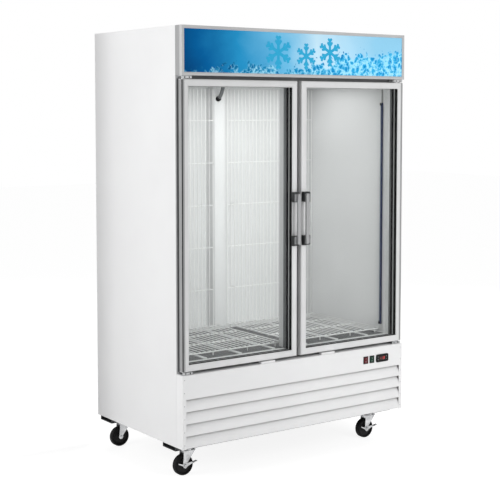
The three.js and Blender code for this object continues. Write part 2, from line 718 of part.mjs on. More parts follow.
// ---------------------------------------------------------------------------------------------
// Lit header: front frame, picture panel, lamp housing and lamp
// ---------------------------------------------------------------------------------------------

const HEADER_SPAN = [-HALF_WIDTH, HALF_WIDTH];
const HEADER_RISE = [HEADER_BOTTOM, CABINET_TOP];

function headerFrame() {
  return mitredFrame(HEADER_SPAN, HEADER_RISE, [
    [0, 1],
    [1, 0],
    [HEADER_BORDER - 1, 0],
    [HEADER_BORDER, 1],
    [HEADER_BORDER, HEADER_LIP],
    [HEADER_REBATE, HEADER_LIP],
    [HEADER_REBATE, HEADER_FRAME_DEPTH],
    [0, HEADER_FRAME_DEPTH],
  ]);
}

function headerPanel() {
  const edge = HEADER_REBATE + CLEAR;
  const front = HEADER_LIP + CLEAR;
  const span = [edge - HALF_WIDTH, HALF_WIDTH - edge];
  const rise = [HEADER_BOTTOM + edge, CABINET_TOP - edge];
  return block(span, [front, front + HEADER_PANEL_THICKNESS], rise);
}

function headerHousing() {
  const front = HEADER_FRAME_DEPTH + CLEAR;
  const back = SHELL_FRONT - CLEAR;
  const tray = block(HEADER_SPAN, [front, back], HEADER_RISE);
  const hollowSpan = [SHEET - HALF_WIDTH, HALF_WIDTH - SHEET];
  const hollowRise = [HEADER_BOTTOM + SHEET, CABINET_TOP - SHEET];
  return cut(tray, block(hollowSpan, [front - 1, back - SHEET], hollowRise));
}

function headerLamp() {
  const back = SHELL_FRONT - 2 * CLEAR - SHEET;
  const middle = (HEADER_BOTTOM + CABINET_TOP) / 2;
  const half = HEADER_LAMP_HEIGHT / 2;
  const section = outline([
    [back, middle - half],
    [back, middle + half],
    [back - HEADER_LAMP_DEPTH / 2, middle + half],
    [back - HEADER_LAMP_DEPTH, middle + half / 2],
    [back - HEADER_LAMP_DEPTH, middle - half / 2],
    [back - HEADER_LAMP_DEPTH / 2, middle - half],
  ]);
  return alongX(section, HEADER_LAMP_INSET - HALF_WIDTH, HALF_WIDTH - HEADER_LAMP_INSET);
}

add('header_frame', headerFrame(), 'anodised');
add('header_panel', headerPanel(), 'lit_panel');
add('header_housing', headerHousing(), 'anodised');
add('header_lamp', headerLamp(), 'lamp');

// ---------------------------------------------------------------------------------------------
// Base front: one pressed sheet with overlapping convex louvres
// ---------------------------------------------------------------------------------------------

const SWITCH_WELL = [SWITCH_WIDTH - 2 * SWITCH_RIM, SWITCH_HEIGHT - 2 * SWITCH_RIM];
const SWITCH_BARREL = SWITCH_WELL.map((size) => size + 2 * SHEET);
const SWITCH_XS = [RED_SWITCH_X, RED_SWITCH_X + SWITCH_PITCH];

function centredBlock(x, z, [width, height], depth) {
  return block([x - width / 2, x + width / 2], depth, [z - height / 2, z + height / 2]);
}

// Section (Y, Z) of one slat: a lip at the bottom, a bulging face and a top edge tucked behind
// the lip above.
function slatSection(lipZ) {
  const top = lipZ + LOUVRE_PITCH + LOUVRE_OVERLAP;
  const bend = lipZ + 0.7 * LOUVRE_PITCH;
  const straight = lipZ + LOUVRE_LIP;
  const slat = new THREE.Shape();
  slat.moveTo(0, lipZ);
  slat.lineTo(0, straight);
  slat.quadraticCurveTo(0, bend, LOUVRE_DEPTH, top);
  slat.lineTo(LOUVRE_DEPTH + SHEET, top);
  slat.quadraticCurveTo(SHEET, bend, SHEET, straight);
  slat.lineTo(SHEET, lipZ + SHEET);
  slat.lineTo(LOUVRE_LIP, lipZ + SHEET);
  slat.lineTo(LOUVRE_LIP, lipZ);
  return slat;
}

function louvrePanel() {
  const back = SHELL_FRONT - CLEAR;
  const inside = HALF_WIDTH - SHEET;
  const plan = outline([
    [-HALF_WIDTH, 0],
    [HALF_WIDTH, 0],
    [HALF_WIDTH, back],
    [inside, back],
    [inside, SHEET],
    [-inside, SHEET],
    [-inside, back],
    [-HALF_WIDTH, back],
  ]);
  const span = [-HALF_WIDTH, HALF_WIDTH];
  const windowHalf = HALF_WIDTH - LOUVRE_END;
  const firstLip = BOX_BOTTOM + LOUVRE_BOTTOM;
  const windowTop = firstLip + LOUVRE_COUNT * LOUVRE_PITCH;
  const openSheet = cut(
    alongZ(plan, BOX_BOTTOM, BASE_TOP),
    block([-windowHalf, windowHalf], [-1, SHEET + 1], [BOX_BOTTOM - 1, windowTop]),
    ...SWITCH_XS.map((x) => {
      return centredBlock(x, CONTROL_Z, SWITCH_BARREL.map((size) => size + 2 * CLEAR), [-1, SHEET + 1]);
    }),
    centredBlock(CONTROLLER_X, CONTROL_Z,
      [CONTROLLER_BODY_WIDTH + 2 * CLEAR, CONTROLLER_BODY_HEIGHT + 2 * CLEAR], [-1, SHEET + 1]));
  const slatHalf = windowHalf + LOUVRE_TUCK;
  const slats = [];
  for (let i = 0; i < LOUVRE_COUNT; i += 1) {
    slats.push(alongX(slatSection(firstLip + i * LOUVRE_PITCH), -slatHalf, slatHalf, 6));
  }
  return join(
    openSheet,
    block(span, [0, back], [BASE_TOP - SHEET, BASE_TOP]),
    block([-slatHalf, slatHalf], [0, LOUVRE_LIP], [windowTop, windowTop + SHEET]),
    ...slats);
}

function switchBezel(x) {
  const rim = alongY(rounded(SWITCH_WIDTH, SWITCH_HEIGHT, 2, x, CONTROL_Z), -SWITCH_PROUD, -CLEAR, 2);
  const barrel = centredBlock(x, CONTROL_Z, SWITCH_BARREL, [-CLEAR - 1, SWITCH_BODY_DEPTH]);
  const well = centredBlock(x, CONTROL_Z, SWITCH_WELL, [-SWITCH_PROUD - 1, SWITCH_BODY_DEPTH - SHEET]);
  return cut(join(rim, barrel), well);
}

// A rocker lies over to one side on its pivot; its face is a shallow V.
function addRocker(name, x, finish) {
  const halfHeight = SWITCH_WELL[1] / 2 - ROCKER_CLEARANCE;
  const halfWidth = SWITCH_WELL[0] / 2 - ROCKER_CLEARANCE;
  const back = SWITCH_BODY_DEPTH / 2;
  const side = outline([
    [-SWITCH_PROUD - ROCKER_RISE, -halfHeight],
    [-SWITCH_PROUD, 0],
    [-SWITCH_PROUD - ROCKER_RISE, halfHeight],
    [0, halfHeight],
    [back, halfHeight / 2],
    [back, -halfHeight / 2],
    [0, -halfHeight],
  ]);
  const rocker = add(name, alongX(side, -halfWidth, halfWidth), finish);
  rocker.position.set(x, 0, CONTROL_Z);
  rocker.rotation.x = ROCKER_TILT;
}

function controller() {
  const face = rounded(CONTROLLER_WIDTH, CONTROLLER_HEIGHT, CONTROLLER_CORNER, CONTROLLER_X, CONTROL_Z);
  const body = [CONTROLLER_BODY_WIDTH, CONTROLLER_BODY_HEIGHT];
  return join(
    alongY(face, -CONTROLLER_PROUD, -CLEAR, 4),
    centredBlock(CONTROLLER_X, CONTROL_Z, body, [-CLEAR - 1, CONTROLLER_BODY_DEPTH]));
}

add('louvre_panel', louvrePanel(), 'white_paint');
add('red_switch_bezel', switchBezel(SWITCH_XS[0]), 'black_plastic');
add('green_switch_bezel', switchBezel(SWITCH_XS[1]), 'black_plastic');
addRocker('red_rocker', SWITCH_XS[0], 'red_lens');
addRocker('green_rocker', SWITCH_XS[1], 'green_lens');
add('controller', controller(), 'black_plastic');

// ---------------------------------------------------------------------------------------------
// Base frame: compressor tray welded on two cross rails with the caster plates
// ---------------------------------------------------------------------------------------------

const CASTER_X = HALF_WIDTH - CASTER_INSET;

function channelSection([y0, y1], [z0, z1], wall, web) {
  return outline([
    [y0, z0],
    [y1, z0],
    [y1, z1],
    [y1 - wall, z1],
    [y1 - wall, z0 + web],
    [y0 + wall, z0 + web],
    [y0 + wall, z1],
    [y0, z1],
  ]);
}

function baseFrame() {
  const trayDepth = [BEHIND_FRONT_FLANGE, BEFORE_BACK_FLANGE];
  const trayRise = [BOX_BOTTOM, BOX_BOTTOM + TRAY_EDGE];
  const tray = channelSection(trayDepth, trayRise, TRAY_THICKNESS, TRAY_THICKNESS);
  const railEnd = HALF_WIDTH - RAIL_INSET;
  const [plateDepth, plateWidth, plateThickness] = CASTER_PLATE;
  const pieces = [];
  for (const y of [FRONT_RAIL_Y, REAR_RAIL_Y]) {
    const depth = [y - RAIL_WIDTH / 2, y + RAIL_WIDTH / 2];
    const rise = [CASTER_HEIGHT, BOX_BOTTOM + TRAY_THICKNESS / 2];
    pieces.push(alongX(channelSection(depth, rise, RAIL_WALL, RAIL_WALL), -railEnd, railEnd));
    for (const x of [-CASTER_X, CASTER_X]) {
      pieces.push(block(
        [x - plateWidth / 2, x + plateWidth / 2],
        [y - plateDepth / 2, y + plateDepth / 2],
        [CASTER_HEIGHT - plateThickness, CASTER_HEIGHT + RAIL_WALL / 2]));
    }
  }
  return join(alongX(tray, -BETWEEN_SIDES, BETWEEN_SIDES), ...pieces);
}

add('base_frame', baseFrame(), 'dark_steel');

// ---------------------------------------------------------------------------------------------
// Swivel casters: stamped fork with race and axle, wheel, and a foot brake on the front pair.
// Each is drawn round its own swivel axis, with the wheel trailing towards -X.
// ---------------------------------------------------------------------------------------------

const LEG_OUTSIDE = FORK_INSIDE / 2 + FORK_SHEET;
const HUB_BOSS = 12;

function forkLeg() {
  const crownTop = CASTER_HEIGHT - FORK_CROWN_DROP;
  const slope = Math.PI / 6;
  const leg = new THREE.Shape();
  leg.moveTo(-FORK_CROWN / 2, crownTop);
  leg.lineTo(FORK_CROWN / 2, crownTop);
  leg.absarc(-CASTER_TRAIL, WHEEL_RADIUS, HUB_BOSS, slope, Math.PI - slope, true);
  return leg;
}

function casterFork(hasBrake) {
  const crownTop = CASTER_HEIGHT - FORK_CROWN_DROP;
  const raceTop = CASTER_HEIGHT - CASTER_PLATE[2] - CLEAR;
  const race = turnedUpright([
    [0, crownTop - 1],
    [RACE_RADIUS - 5, crownTop - 1],
    [RACE_RADIUS - 5, crownTop + 5],
    [RACE_RADIUS, crownTop + 7],
    [RACE_RADIUS, raceTop - 2],
    [RACE_RADIUS - 3, raceTop],
    [0, raceTop],
  ], 14);
  const crown = block(
    [-FORK_CROWN / 2, FORK_CROWN / 2],
    [-LEG_OUTSIDE, LEG_OUTSIDE],
    [crownTop - FORK_SHEET, crownTop]);
  const nutStart = hasBrake ? LEG_OUTSIDE + BRAKE_SHEET + 2 * CLEAR : LEG_OUTSIDE - 0.5;
  const nutEnd = nutStart + NUT_THICKNESS;
  const farNut = [LEG_OUTSIDE - 0.5, LEG_OUTSIDE + NUT_THICKNESS];
  return join(
    crown,
    race,
    alongY(forkLeg(), -LEG_OUTSIDE, -FORK_INSIDE / 2, 6),
    alongY(forkLeg(), FORK_INSIDE / 2, LEG_OUTSIDE, 6),
    rodY(AXLE_RADIUS, -CASTER_TRAIL, WHEEL_RADIUS, -nutStart - 0.5, farNut[0] + 0.5),
    rodY(NUT_RADIUS, -CASTER_TRAIL, WHEEL_RADIUS, -nutEnd, -nutStart, 6),
    rodY(NUT_RADIUS, -CASTER_TRAIL, WHEEL_RADIUS, ...farNut, 6));
}

// The radii are those of the flats, so that the wheel stands on a flat at its full radius.
function casterWheel() {
  const toCorner = 1 / Math.cos(Math.PI / WHEEL_SEGMENTS);
  const bore = AXLE_RADIUS + AXLE_CLEARANCE;
  const hub = FORK_INSIDE / 2 - CLEAR;
  const tread = WHEEL_WIDTH / 2;
  const web = tread / 2;
  const half = [
    [bore, hub],
    [HUB_BOSS, hub],
    [HUB_BOSS, web],
    [WHEEL_RADIUS - 12, web],
    [WHEEL_RADIUS - 9, tread],
    [WHEEL_RADIUS - 2.5, tread],
    [WHEEL_RADIUS, tread - 6],
  ];
  const otherHalf = half.map(([r, y]) => [r, -y]).reverse();
  const loop = [...half, ...otherHalf, half[0]];
  const points = loop.map(([r, y]) => new THREE.Vector2(r * toCorner, y));
  return new THREE.LatheGeometry(points, WHEEL_SEGMENTS, Math.PI / WHEEL_SEGMENTS);
}

// The brake is a see-saw plate on the axle with a foot pedal bent out at its far end.
function brakeLever() {
  const outside = -LEG_OUTSIDE - CLEAR;
  const [x, z] = [-CASTER_TRAIL, WHEEL_RADIUS];
  const plate = outline([
    [-38, 15],
    [-36, 9],
    [-14, -2],
    [0, -15],
    [12, -6],
    [30, 2],
    [60, 9],
    [59, 16],
    [22, 11],
    [0, 12],
    [-15, 7],
  ].map(([u, v]) => [x + u, z + v]));
  const bore = new THREE.Path();
  bore.absarc(x, z, AXLE_RADIUS + AXLE_CLEARANCE, 0, 2 * Math.PI);
  plate.holes.push(bore);
  const pedal = outline([[38, 10], [60, 15], [59.5, 18], [37.5, 13]].map(([u, v]) => [x + u, z + v]));
  return join(
    alongY(plate, outside - BRAKE_SHEET, outside, 6),
    alongY(pedal, outside - BRAKE_PEDAL_WIDTH, outside - 1));
}

const CASTERS = [
  { name: 'front_left', x: -CASTER_X, y: FRONT_RAIL_Y, hasBrake: true },
  { name: 'front_right', x: CASTER_X, y: FRONT_RAIL_Y, hasBrake: true },
  { name: 'rear_left', x: -CASTER_X, y: REAR_RAIL_Y, hasBrake: false },
  { name: 'rear_right', x: CASTER_X, y: REAR_RAIL_Y, hasBrake: false },
];

for (const { name, x, y, hasBrake } of CASTERS) {
  add(`${name}_fork`, casterFork(hasBrake), 'zinc').position.set(x, y, 0);
  add(`${name}_wheel`, casterWheel(), 'tyre').position.set(x - CASTER_TRAIL, y, WHEEL_RADIUS);
  if (hasBrake) add(`${name}_brake_lever`, brakeLever(), 'zinc').position.set(x, y, 0);
}

// ---------------------------------------------------------------------------------------------
// Lamps, back channel, wire guards and floor racks of the storage compartment
// ---------------------------------------------------------------------------------------------

function lampSection(seatX, y, width, proud) {
  const half = width / 2;
  return outline([
    [seatX, y - half],
    [seatX, y + half],
    [seatX - 0.7 * proud, y + half],
    [seatX - proud, y + half / 2],
    [seatX - proud, y - half / 2],
    [seatX - 0.7 * proud, y - half],
  ]);
}

function wallLamp() {
  const section = lampSection(INNER_HALF - CLEAR, LAMP_Y, LAMP_WIDTH, LAMP_PROUD);
  return alongZ(section, LAMP_BOTTOM, LAMP_BOTTOM + LAMP_LENGTH);
}

function mullionLamp() {
  const seat = SURROUND_FRONT + MULLION_DEPTH + CLEAR;
  const section = lampSection(0, 0, MULLION_LAMP_WIDTH, MULLION_LAMP_DEPTH);
  const lamp = alongZ(section, LAMP_BOTTOM, LAMP_BOTTOM + LAMP_LENGTH);
  return lamp.rotateZ(-Math.PI / 2).translate(0, seat, 0);
}

function channelCover() {
  const half = CHANNEL_WIDTH / 2;
  const back = INNER_BACK - CLEAR;
  const inner = half - LINER;
  const plan = outline([
    [-half, back],
    [-half, CHANNEL_FRONT + CHANNEL_EDGE],
    [-half + CHANNEL_EDGE, CHANNEL_FRONT],
    [half - CHANNEL_EDGE, CHANNEL_FRONT],
    [half, CHANNEL_FRONT + CHANNEL_EDGE],
    [half, back],
    [inner, back],
    [inner, CHANNEL_FRONT + CHANNEL_EDGE],
    [inner - CHANNEL_EDGE + LINER, CHANNEL_FRONT + LINER],
    [-inner + CHANNEL_EDGE - LINER, CHANNEL_FRONT + LINER],
    [-inner, CHANNEL_FRONT + CHANNEL_EDGE],
    [-inner, back],
  ]);
  return alongZ(plan, INNER_FLOOR + CLEAR, EVAPORATOR_BOTTOM - CLEAR);
}

// The drain hose leaves the cooling unit over the channel and curls down into its face. It is
// drawn a little too long and both ends are trimmed flush.
function drainHose() {
  const path = new THREE.CatmullRomCurve3([
    new THREE.Vector3(-6, CHANNEL_FRONT - 50, EVAPORATOR_BOTTOM + 8),
    new THREE.Vector3(-7, CHANNEL_FRONT - 44, EVAPORATOR_BOTTOM - 24),
    new THREE.Vector3(-10, CHANNEL_FRONT - 32, EVAPORATOR_BOTTOM - 54),
    new THREE.Vector3(-14, CHANNEL_FRONT - 15, EVAPORATOR_BOTTOM - 78),
    new THREE.Vector3(-16, CHANNEL_FRONT + 8, EVAPORATOR_BOTTOM - 88),
  ]);
  const section = new THREE.Shape();
  section.absarc(0, 0, HOSE_RADIUS, 0, 2 * Math.PI);
  const hose = new THREE.ExtrudeGeometry(section, { steps: 9, extrudePath: path, curveSegments: 4 });
  const [top, end] = [EVAPORATOR_BOTTOM - CLEAR, CHANNEL_FRONT - CLEAR];
  const around = [-CHANNEL_WIDTH, CHANNEL_WIDTH];
  return cut(
    hose,
    block(around, [end - 2 * CHANNEL_DEPTH, end], [top, top + CHANNEL_DEPTH]),
    block(around, [end, end + CHANNEL_DEPTH], [top - 4 * CHANNEL_DEPTH, top + CHANNEL_DEPTH]));
}

function wireGrid(wires) {
  return join(...wires.map(([xs, ys, zs]) => block(xs, ys, zs)));
}

// Upright wires stand on the floor; cross wires are welded behind them and pegged to the wall.
function backGuard() {
  const x0 = CHANNEL_WIDTH / 2 + GUARD_CENTRE_GAP;
  const x1 = INNER_HALF - GUARD_SIDE_GAP;
  const pitch = (x1 - x0 - GUARD_WIRE) / (GUARD_COLUMNS - 1);
  const top = EVAPORATOR_BOTTOM - GUARD_TOP_GAP;
  const weld = GUARD_WIRE / 8;
  const crossDepth = [GUARD_Y + GUARD_WIRE - weld, GUARD_Y + 2 * GUARD_WIRE - weld];
  const wires = [];
  for (let i = 0; i < GUARD_COLUMNS; i += 1) {
    const x = x0 + i * pitch;
    wires.push([[x, x + GUARD_WIRE], [GUARD_Y, GUARD_Y + GUARD_WIRE], [INNER_FLOOR + CLEAR, top]]);
  }
  for (let row = 0; row < GUARD_ROWS; row += 1) {
    const z = GUARD_FIRST_ROW + row * GUARD_ROW_PITCH;
    wires.push([[x0, x1], crossDepth, [z, z + GUARD_WIRE]]);
    if (row % 2 === 0) {
      for (const x of [x0 + pitch / 2, x1 - pitch / 2]) {
        wires.push([[x, x + GUARD_WIRE], [crossDepth[0], INNER_BACK - CLEAR], [z, z + GUARD_WIRE]]);
      }
    }
  }
  return wireGrid(wires);
}

// Fine wires run front to back on heavier bearers that have short legs.
function floorRack() {
  const x1 = INNER_HALF - RACK_SIDE_GAP;
  const x0 = x1 - RACK_WIDTH;
  const middle = (x0 + x1) / 2;
  const bearerTop = INNER_FLOOR + RACK_LEG_HEIGHT - RACK_WIRE;
  const weld = RACK_WIRE / 8;
  const bearerRise = [bearerTop - RACK_BEARER, bearerTop];
  const wires = [];
  for (let i = 0; i < RACK_BEARERS; i += 1) {
    const y = RACK_FRONT + (i / (RACK_BEARERS - 1)) * (RACK_BACK - RACK_FRONT - RACK_BEARER);
    wires.push([[x0, x1], [y, y + RACK_BEARER], bearerRise]);
  }
  const pitch = (RACK_WIDTH - RACK_WIRE) / (RACK_WIRES - 1);
  for (let i = 0; i < RACK_WIRES; i += 1) {
    const x = x0 + i * pitch;
    const rise = [bearerTop - weld, bearerTop - weld + RACK_WIRE];
    wires.push([[x, x + RACK_WIRE], [RACK_FRONT, RACK_BACK], rise]);
  }
  const endLeg = RACK_WIDTH / 2 - RACK_END_LEG_INSET;
  for (const offset of [-endLeg, -RACK_LEG_SPACING / 2, RACK_LEG_SPACING / 2, endLeg]) {
    const x = middle + offset - RACK_BEARER / 2;
    for (const y of [RACK_FRONT, RACK_BACK - RACK_BEARER]) {
      const rise = [INNER_FLOOR + CLEAR, bearerTop - RACK_BEARER / 2];
      wires.push([[x, x + RACK_BEARER], [y + weld, y + RACK_BEARER - weld], rise]);
    }
  }
  return wireGrid(wires);
}

addPair('wall_lamp', wallLamp(), 'lamp');
add('mullion_lamp', mullionLamp(), 'lamp');
add('channel_cover', channelCover(), 'liner');
add('drain_hose', drainHose(), 'seal');
addPair('back_guard', backGuard(), 'white_wire');
addPair('floor_rack', floorRack(), 'white_wire');

// ---------------------------------------------------------------------------------------------
// Fans: the same blade wheel and motor bracket serve the cooling unit and the condenser
// ---------------------------------------------------------------------------------------------

const FAN_HUB_START = 5;            // the hub over the plate with the fan opening
const FAN_STRAP_START = 34;
const FAN_STRAP = [24, 3];

// Blade wheel round the Z axis, over a plate whose upper face is Z = 0.
function fanWheel() {
  const bore = FAN_SHAFT_RADIUS + FAN_SHAFT_CLEARANCE;
  const hub = turnedUpright([
    [bore, FAN_HUB_START],
    [FAN_HUB_RADIUS, FAN_HUB_START],
    [FAN_HUB_RADIUS, FAN_HUB_START + FAN_HUB_LENGTH],
    [bore, FAN_HUB_START + FAN_HUB_LENGTH],
    [bore, FAN_HUB_START],
  ], 15);
  const root = FAN_HUB_RADIUS - 4;
  const blade = outline([
    [root, -14],
    [FAN_RADIUS * 0.75, -30],
    [FAN_RADIUS * 0.95, -24],
    [FAN_RADIUS * 0.98, 8],
    [FAN_RADIUS * 0.8, 26],
    [root, 12],
  ]);
  const middle = FAN_HUB_START + FAN_HUB_LENGTH / 2;
  const pitched = alongZ(blade, -1, 1).rotateX(THREE.MathUtils.degToRad(20)).translate(0, 0, middle);
  const blades = [];
  for (let i = 0; i < FAN_BLADES; i += 1) {
    blades.push(pitched.clone().rotateZ((i / FAN_BLADES) * 2 * Math.PI));
  }
  return join(hub, ...blades);
}

// Strap over the fan opening with the motor and its shaft, as pieces to join to the plate.
function fanMotor() {
  const reach = FAN_OPENING_RADIUS + 14;
  const [width, thickness] = FAN_STRAP;
  const strapRise = [FAN_STRAP_START, FAN_STRAP_START + thickness];
  const legs = [-reach, reach - thickness].map((x) => {
    return block([x, x + thickness], [-width / 2, width / 2], [-1, strapRise[1]]);
  });
  return [
    block([-reach, reach], [-width / 2, width / 2], strapRise),
    ...legs,
    turnedUpright([
      [0, strapRise[0] + 1],
      [FAN_MOTOR_RADIUS, strapRise[0] + 1],
      [FAN_MOTOR_RADIUS, strapRise[0] + FAN_MOTOR_LENGTH - 6],
      [FAN_MOTOR_RADIUS - 6, strapRise[0] + FAN_MOTOR_LENGTH],
      [0, strapRise[0] + FAN_MOTOR_LENGTH],
    ], 14),
    rodZ(FAN_SHAFT_RADIUS, 0, 0, FAN_HUB_START + 1, strapRise[0] + 2),
  ];
}

function fanOpening(depth) {
  return rodZ(FAN_OPENING_RADIUS, 0, 0, -depth, depth, 28);
}

// ---------------------------------------------------------------------------------------------
// Cooling unit under the ceiling, with its fan in the floor of the housing
// ---------------------------------------------------------------------------------------------

const EVAPORATOR_MIDDLE = (EVAPORATOR_FRONT + EVAPORATOR_BACK) / 2;
const EVAPORATOR_PLATE = EVAPORATOR_BOTTOM + SHEET;

function evaporatorHousing() {
  const half = EVAPORATOR_HALF_WIDTH;
  const depth = [EVAPORATOR_FRONT, EVAPORATOR_BACK];
  const top = EVAPORATOR_BOTTOM + EVAPORATOR_HEIGHT;
  const hollow = block(
    [SHEET - half, half - SHEET],
    [depth[0] + SHEET, depth[1] - SHEET],
    [EVAPORATOR_PLATE, top + 1]);
  const outlet = block(
    [-0.9 * half, 0.9 * half],
    [depth[1] - SHEET - 1, depth[1] + 1],
    [EVAPORATOR_PLATE + 15, EVAPORATOR_PLATE + 60]);
  const opening = fanOpening(10).translate(0, EVAPORATOR_MIDDLE, EVAPORATOR_PLATE);
  const tray = cut(block([-half, half], depth, [EVAPORATOR_BOTTOM, top]), hollow, outlet, opening);
  const motor = fanMotor().map((piece) => piece.translate(0, EVAPORATOR_MIDDLE, EVAPORATOR_PLATE));
  return join(tray, ...motor);
}

add('evaporator_housing', evaporatorHousing(), 'liner');
add('evaporator_fan', fanWheel().translate(0, EVAPORATOR_MIDDLE, EVAPORATOR_PLATE), 'dark_plastic');

// ---------------------------------------------------------------------------------------------
// Machine compartment: condenser with its fan, compressor and rear grille
// ---------------------------------------------------------------------------------------------

const TRAY_TOP = BOX_BOTTOM + TRAY_THICKNESS;
const CONDENSER_BOTTOM = TRAY_TOP + CLEAR;
const CONDENSER_BACK = CONDENSER_Y + CONDENSER_DEPTH / 2;
const CONDENSER_MIDDLE = CONDENSER_BOTTOM + CONDENSER_HEIGHT / 2;

// Plan view (X, Y) of the finned block: a comb on both faces.
function finnedPlan() {
  const pitch = CONDENSER_WIDTH / (2 * CONDENSER_FINS - 1);
  const front = CONDENSER_Y - CONDENSER_DEPTH / 2;
  const groove = CONDENSER_DEPTH / 3;
  const left = CONDENSER_X - CONDENSER_WIDTH / 2;
  const points = [];
  for (let i = 0; i < 2 * CONDENSER_FINS - 1; i += 1) {
    const y = i % 2 === 0 ? front : front + groove;
    points.push([left + i * pitch, y], [left + (i + 1) * pitch, y]);
  }
  points.push([left + CONDENSER_WIDTH, CONDENSER_BACK], [left, CONDENSER_BACK]);
  return outline(points);
}

// What is drawn round Z is laid back, so that its axis points from the plate to the rear.
function onCondenser(geometry) {
  return geometry.rotateX(-Math.PI / 2).translate(CONDENSER_X, CONDENSER_BACK + SHEET, CONDENSER_MIDDLE);
}

function condenserCoil() {
  const top = CONDENSER_BOTTOM + CONDENSER_HEIGHT;
  const half = CONDENSER_WIDTH / 2;
  const span = [CONDENSER_X - half, CONDENSER_X + half];
  const plate = block(span, [CONDENSER_BACK - 1, CONDENSER_BACK + SHEET], [CONDENSER_BOTTOM, top]);
  const opening = onCondenser(fanOpening(CONDENSER_DEPTH / 3));
  const coil = join(alongZ(finnedPlan(), CONDENSER_BOTTOM, top), plate);
  return join(cut(coil, opening), ...fanMotor().map(onCondenser));
}

function compressor() {
  const feetTop = TRAY_TOP + 18;
  const plateTop = feetTop + 3;
  const top = plateTop + COMPRESSOR_HEIGHT;
  const footX = COMPRESSOR_RADIUS + 12;
  const footY = COMPRESSOR_RADIUS - 18;
  const feet = [];
  for (const [sx, sy] of [[-1, -1], [-1, 1], [1, -1], [1, 1]]) {
    feet.push(rodZ(11, sx * (footX - 10), sy * (footY - 10), TRAY_TOP + CLEAR, feetTop + 1, 8));
  }
  const dome = turnedUpright([
    [0, plateTop - 1],
    [COMPRESSOR_RADIUS * 0.8, plateTop - 1],
    [COMPRESSOR_RADIUS, plateTop + 25],
    [COMPRESSOR_RADIUS, plateTop + 95],
    [COMPRESSOR_RADIUS + 4, plateTop + 97],
    [COMPRESSOR_RADIUS + 4, plateTop + 103],
    [COMPRESSOR_RADIUS, plateTop + 105],
    [COMPRESSOR_RADIUS, top - 45],
    [COMPRESSOR_RADIUS * 0.75, top - 12],
    [COMPRESSOR_RADIUS * 0.35, top],
    [0, top],
  ], 16);
  const plate = block([-footX, footX], [-footY, footY], [feetTop, plateTop]);
  return join(plate, dome, ...feet).translate(COMPRESSOR_X, COMPRESSOR_Y, 0);
}

function rearGrille() {
  const rise = [BOX_BOTTOM, FOAM_BOTTOM - CLEAR];
  const plate = block([-BETWEEN_SIDES, BETWEEN_SIDES], [SHELL_BACK - SHEET, SHELL_BACK], rise);
  const middle = (rise[0] + rise[1]) / 2;
  const slots = [];
  for (let row = 0; row < GRILLE_ROWS; row += 1) {
    const z = middle + (row - (GRILLE_ROWS - 1) / 2) * 1.4 * GRILLE_SLOT_HEIGHT;
    for (let column = 0; column < GRILLE_COLUMNS; column += 1) {
      const x = (column - (GRILLE_COLUMNS - 1) / 2) * GRILLE_SLOT_PITCH;
      const size = [GRILLE_SLOT_WIDTH, GRILLE_SLOT_HEIGHT];
      slots.push(centredBlock(x, z, size, [SHELL_BACK - SHEET - 1, SHELL_BACK + 1]));
    }
  }
  return cut(plate, ...slots);
}

add('condenser_coil', condenserCoil(), 'finned_coil');
add('condenser_fan', onCondenser(fanWheel()), 'dark_plastic');
add('compressor', compressor(), 'black_plastic');
add('rear_grille', rearGrille(), 'white_paint');

// ---------------------------------------------------------------------------------------------
// The origin: on the floor, under the middle of the freezer with its handles
// ---------------------------------------------------------------------------------------------

freezer.position.y = -(HANDLE_FRONT + SHELL_BACK) / 2;

export default freezer;
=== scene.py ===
"""Upright two-door ice freezer: a foamed steel cabinet, lit header, glass doors and casters."""

import math

import bmesh
import bpy
from mathutils import Matrix, Vector


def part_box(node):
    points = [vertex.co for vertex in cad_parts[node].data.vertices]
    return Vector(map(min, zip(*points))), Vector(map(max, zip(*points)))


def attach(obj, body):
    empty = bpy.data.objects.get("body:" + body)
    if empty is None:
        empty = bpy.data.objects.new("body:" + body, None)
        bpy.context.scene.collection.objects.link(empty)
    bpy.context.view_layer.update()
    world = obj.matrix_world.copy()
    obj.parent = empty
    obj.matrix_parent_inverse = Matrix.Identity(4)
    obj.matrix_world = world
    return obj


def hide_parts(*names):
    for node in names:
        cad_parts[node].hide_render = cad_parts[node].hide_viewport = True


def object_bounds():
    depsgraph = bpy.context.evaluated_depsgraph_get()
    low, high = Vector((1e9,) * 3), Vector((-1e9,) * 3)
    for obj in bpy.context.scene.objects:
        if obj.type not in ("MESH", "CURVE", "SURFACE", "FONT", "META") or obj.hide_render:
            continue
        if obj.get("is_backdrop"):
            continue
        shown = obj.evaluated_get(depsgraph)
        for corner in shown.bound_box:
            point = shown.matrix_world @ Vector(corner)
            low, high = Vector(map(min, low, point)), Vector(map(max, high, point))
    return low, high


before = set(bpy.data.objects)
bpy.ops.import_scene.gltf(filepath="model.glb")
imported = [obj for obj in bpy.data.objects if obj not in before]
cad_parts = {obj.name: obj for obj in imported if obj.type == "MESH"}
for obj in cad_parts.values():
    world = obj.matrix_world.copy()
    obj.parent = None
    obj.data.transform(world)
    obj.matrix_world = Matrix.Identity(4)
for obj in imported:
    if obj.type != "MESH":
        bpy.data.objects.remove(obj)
cad_low, cad_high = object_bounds()

# ----
# Studio: a pale floor, a white surround and soft lamps. The camera stands left of the doors at
# head height, looks slightly down and has a long lens.

EYE = (-3.5465, -4.9365, 1.714)
TURN_RIGHT = math.radians(35.556)
LOOK_DOWN = math.radians(4.0)
LENS = 85.93
LENS_SHIFT = -0.1119
FLOOR_SIZE = 40.0
FLOOR_GLOW = 1.24
FLOOR_GLOW_SHARE = 0.70
SURROUND_LIGHT = 0.42
BOARD_PLACE = (-0.945, 0.47, 1.15)
BOARD_SIZE = (0.50, 2.3, 1, 1)

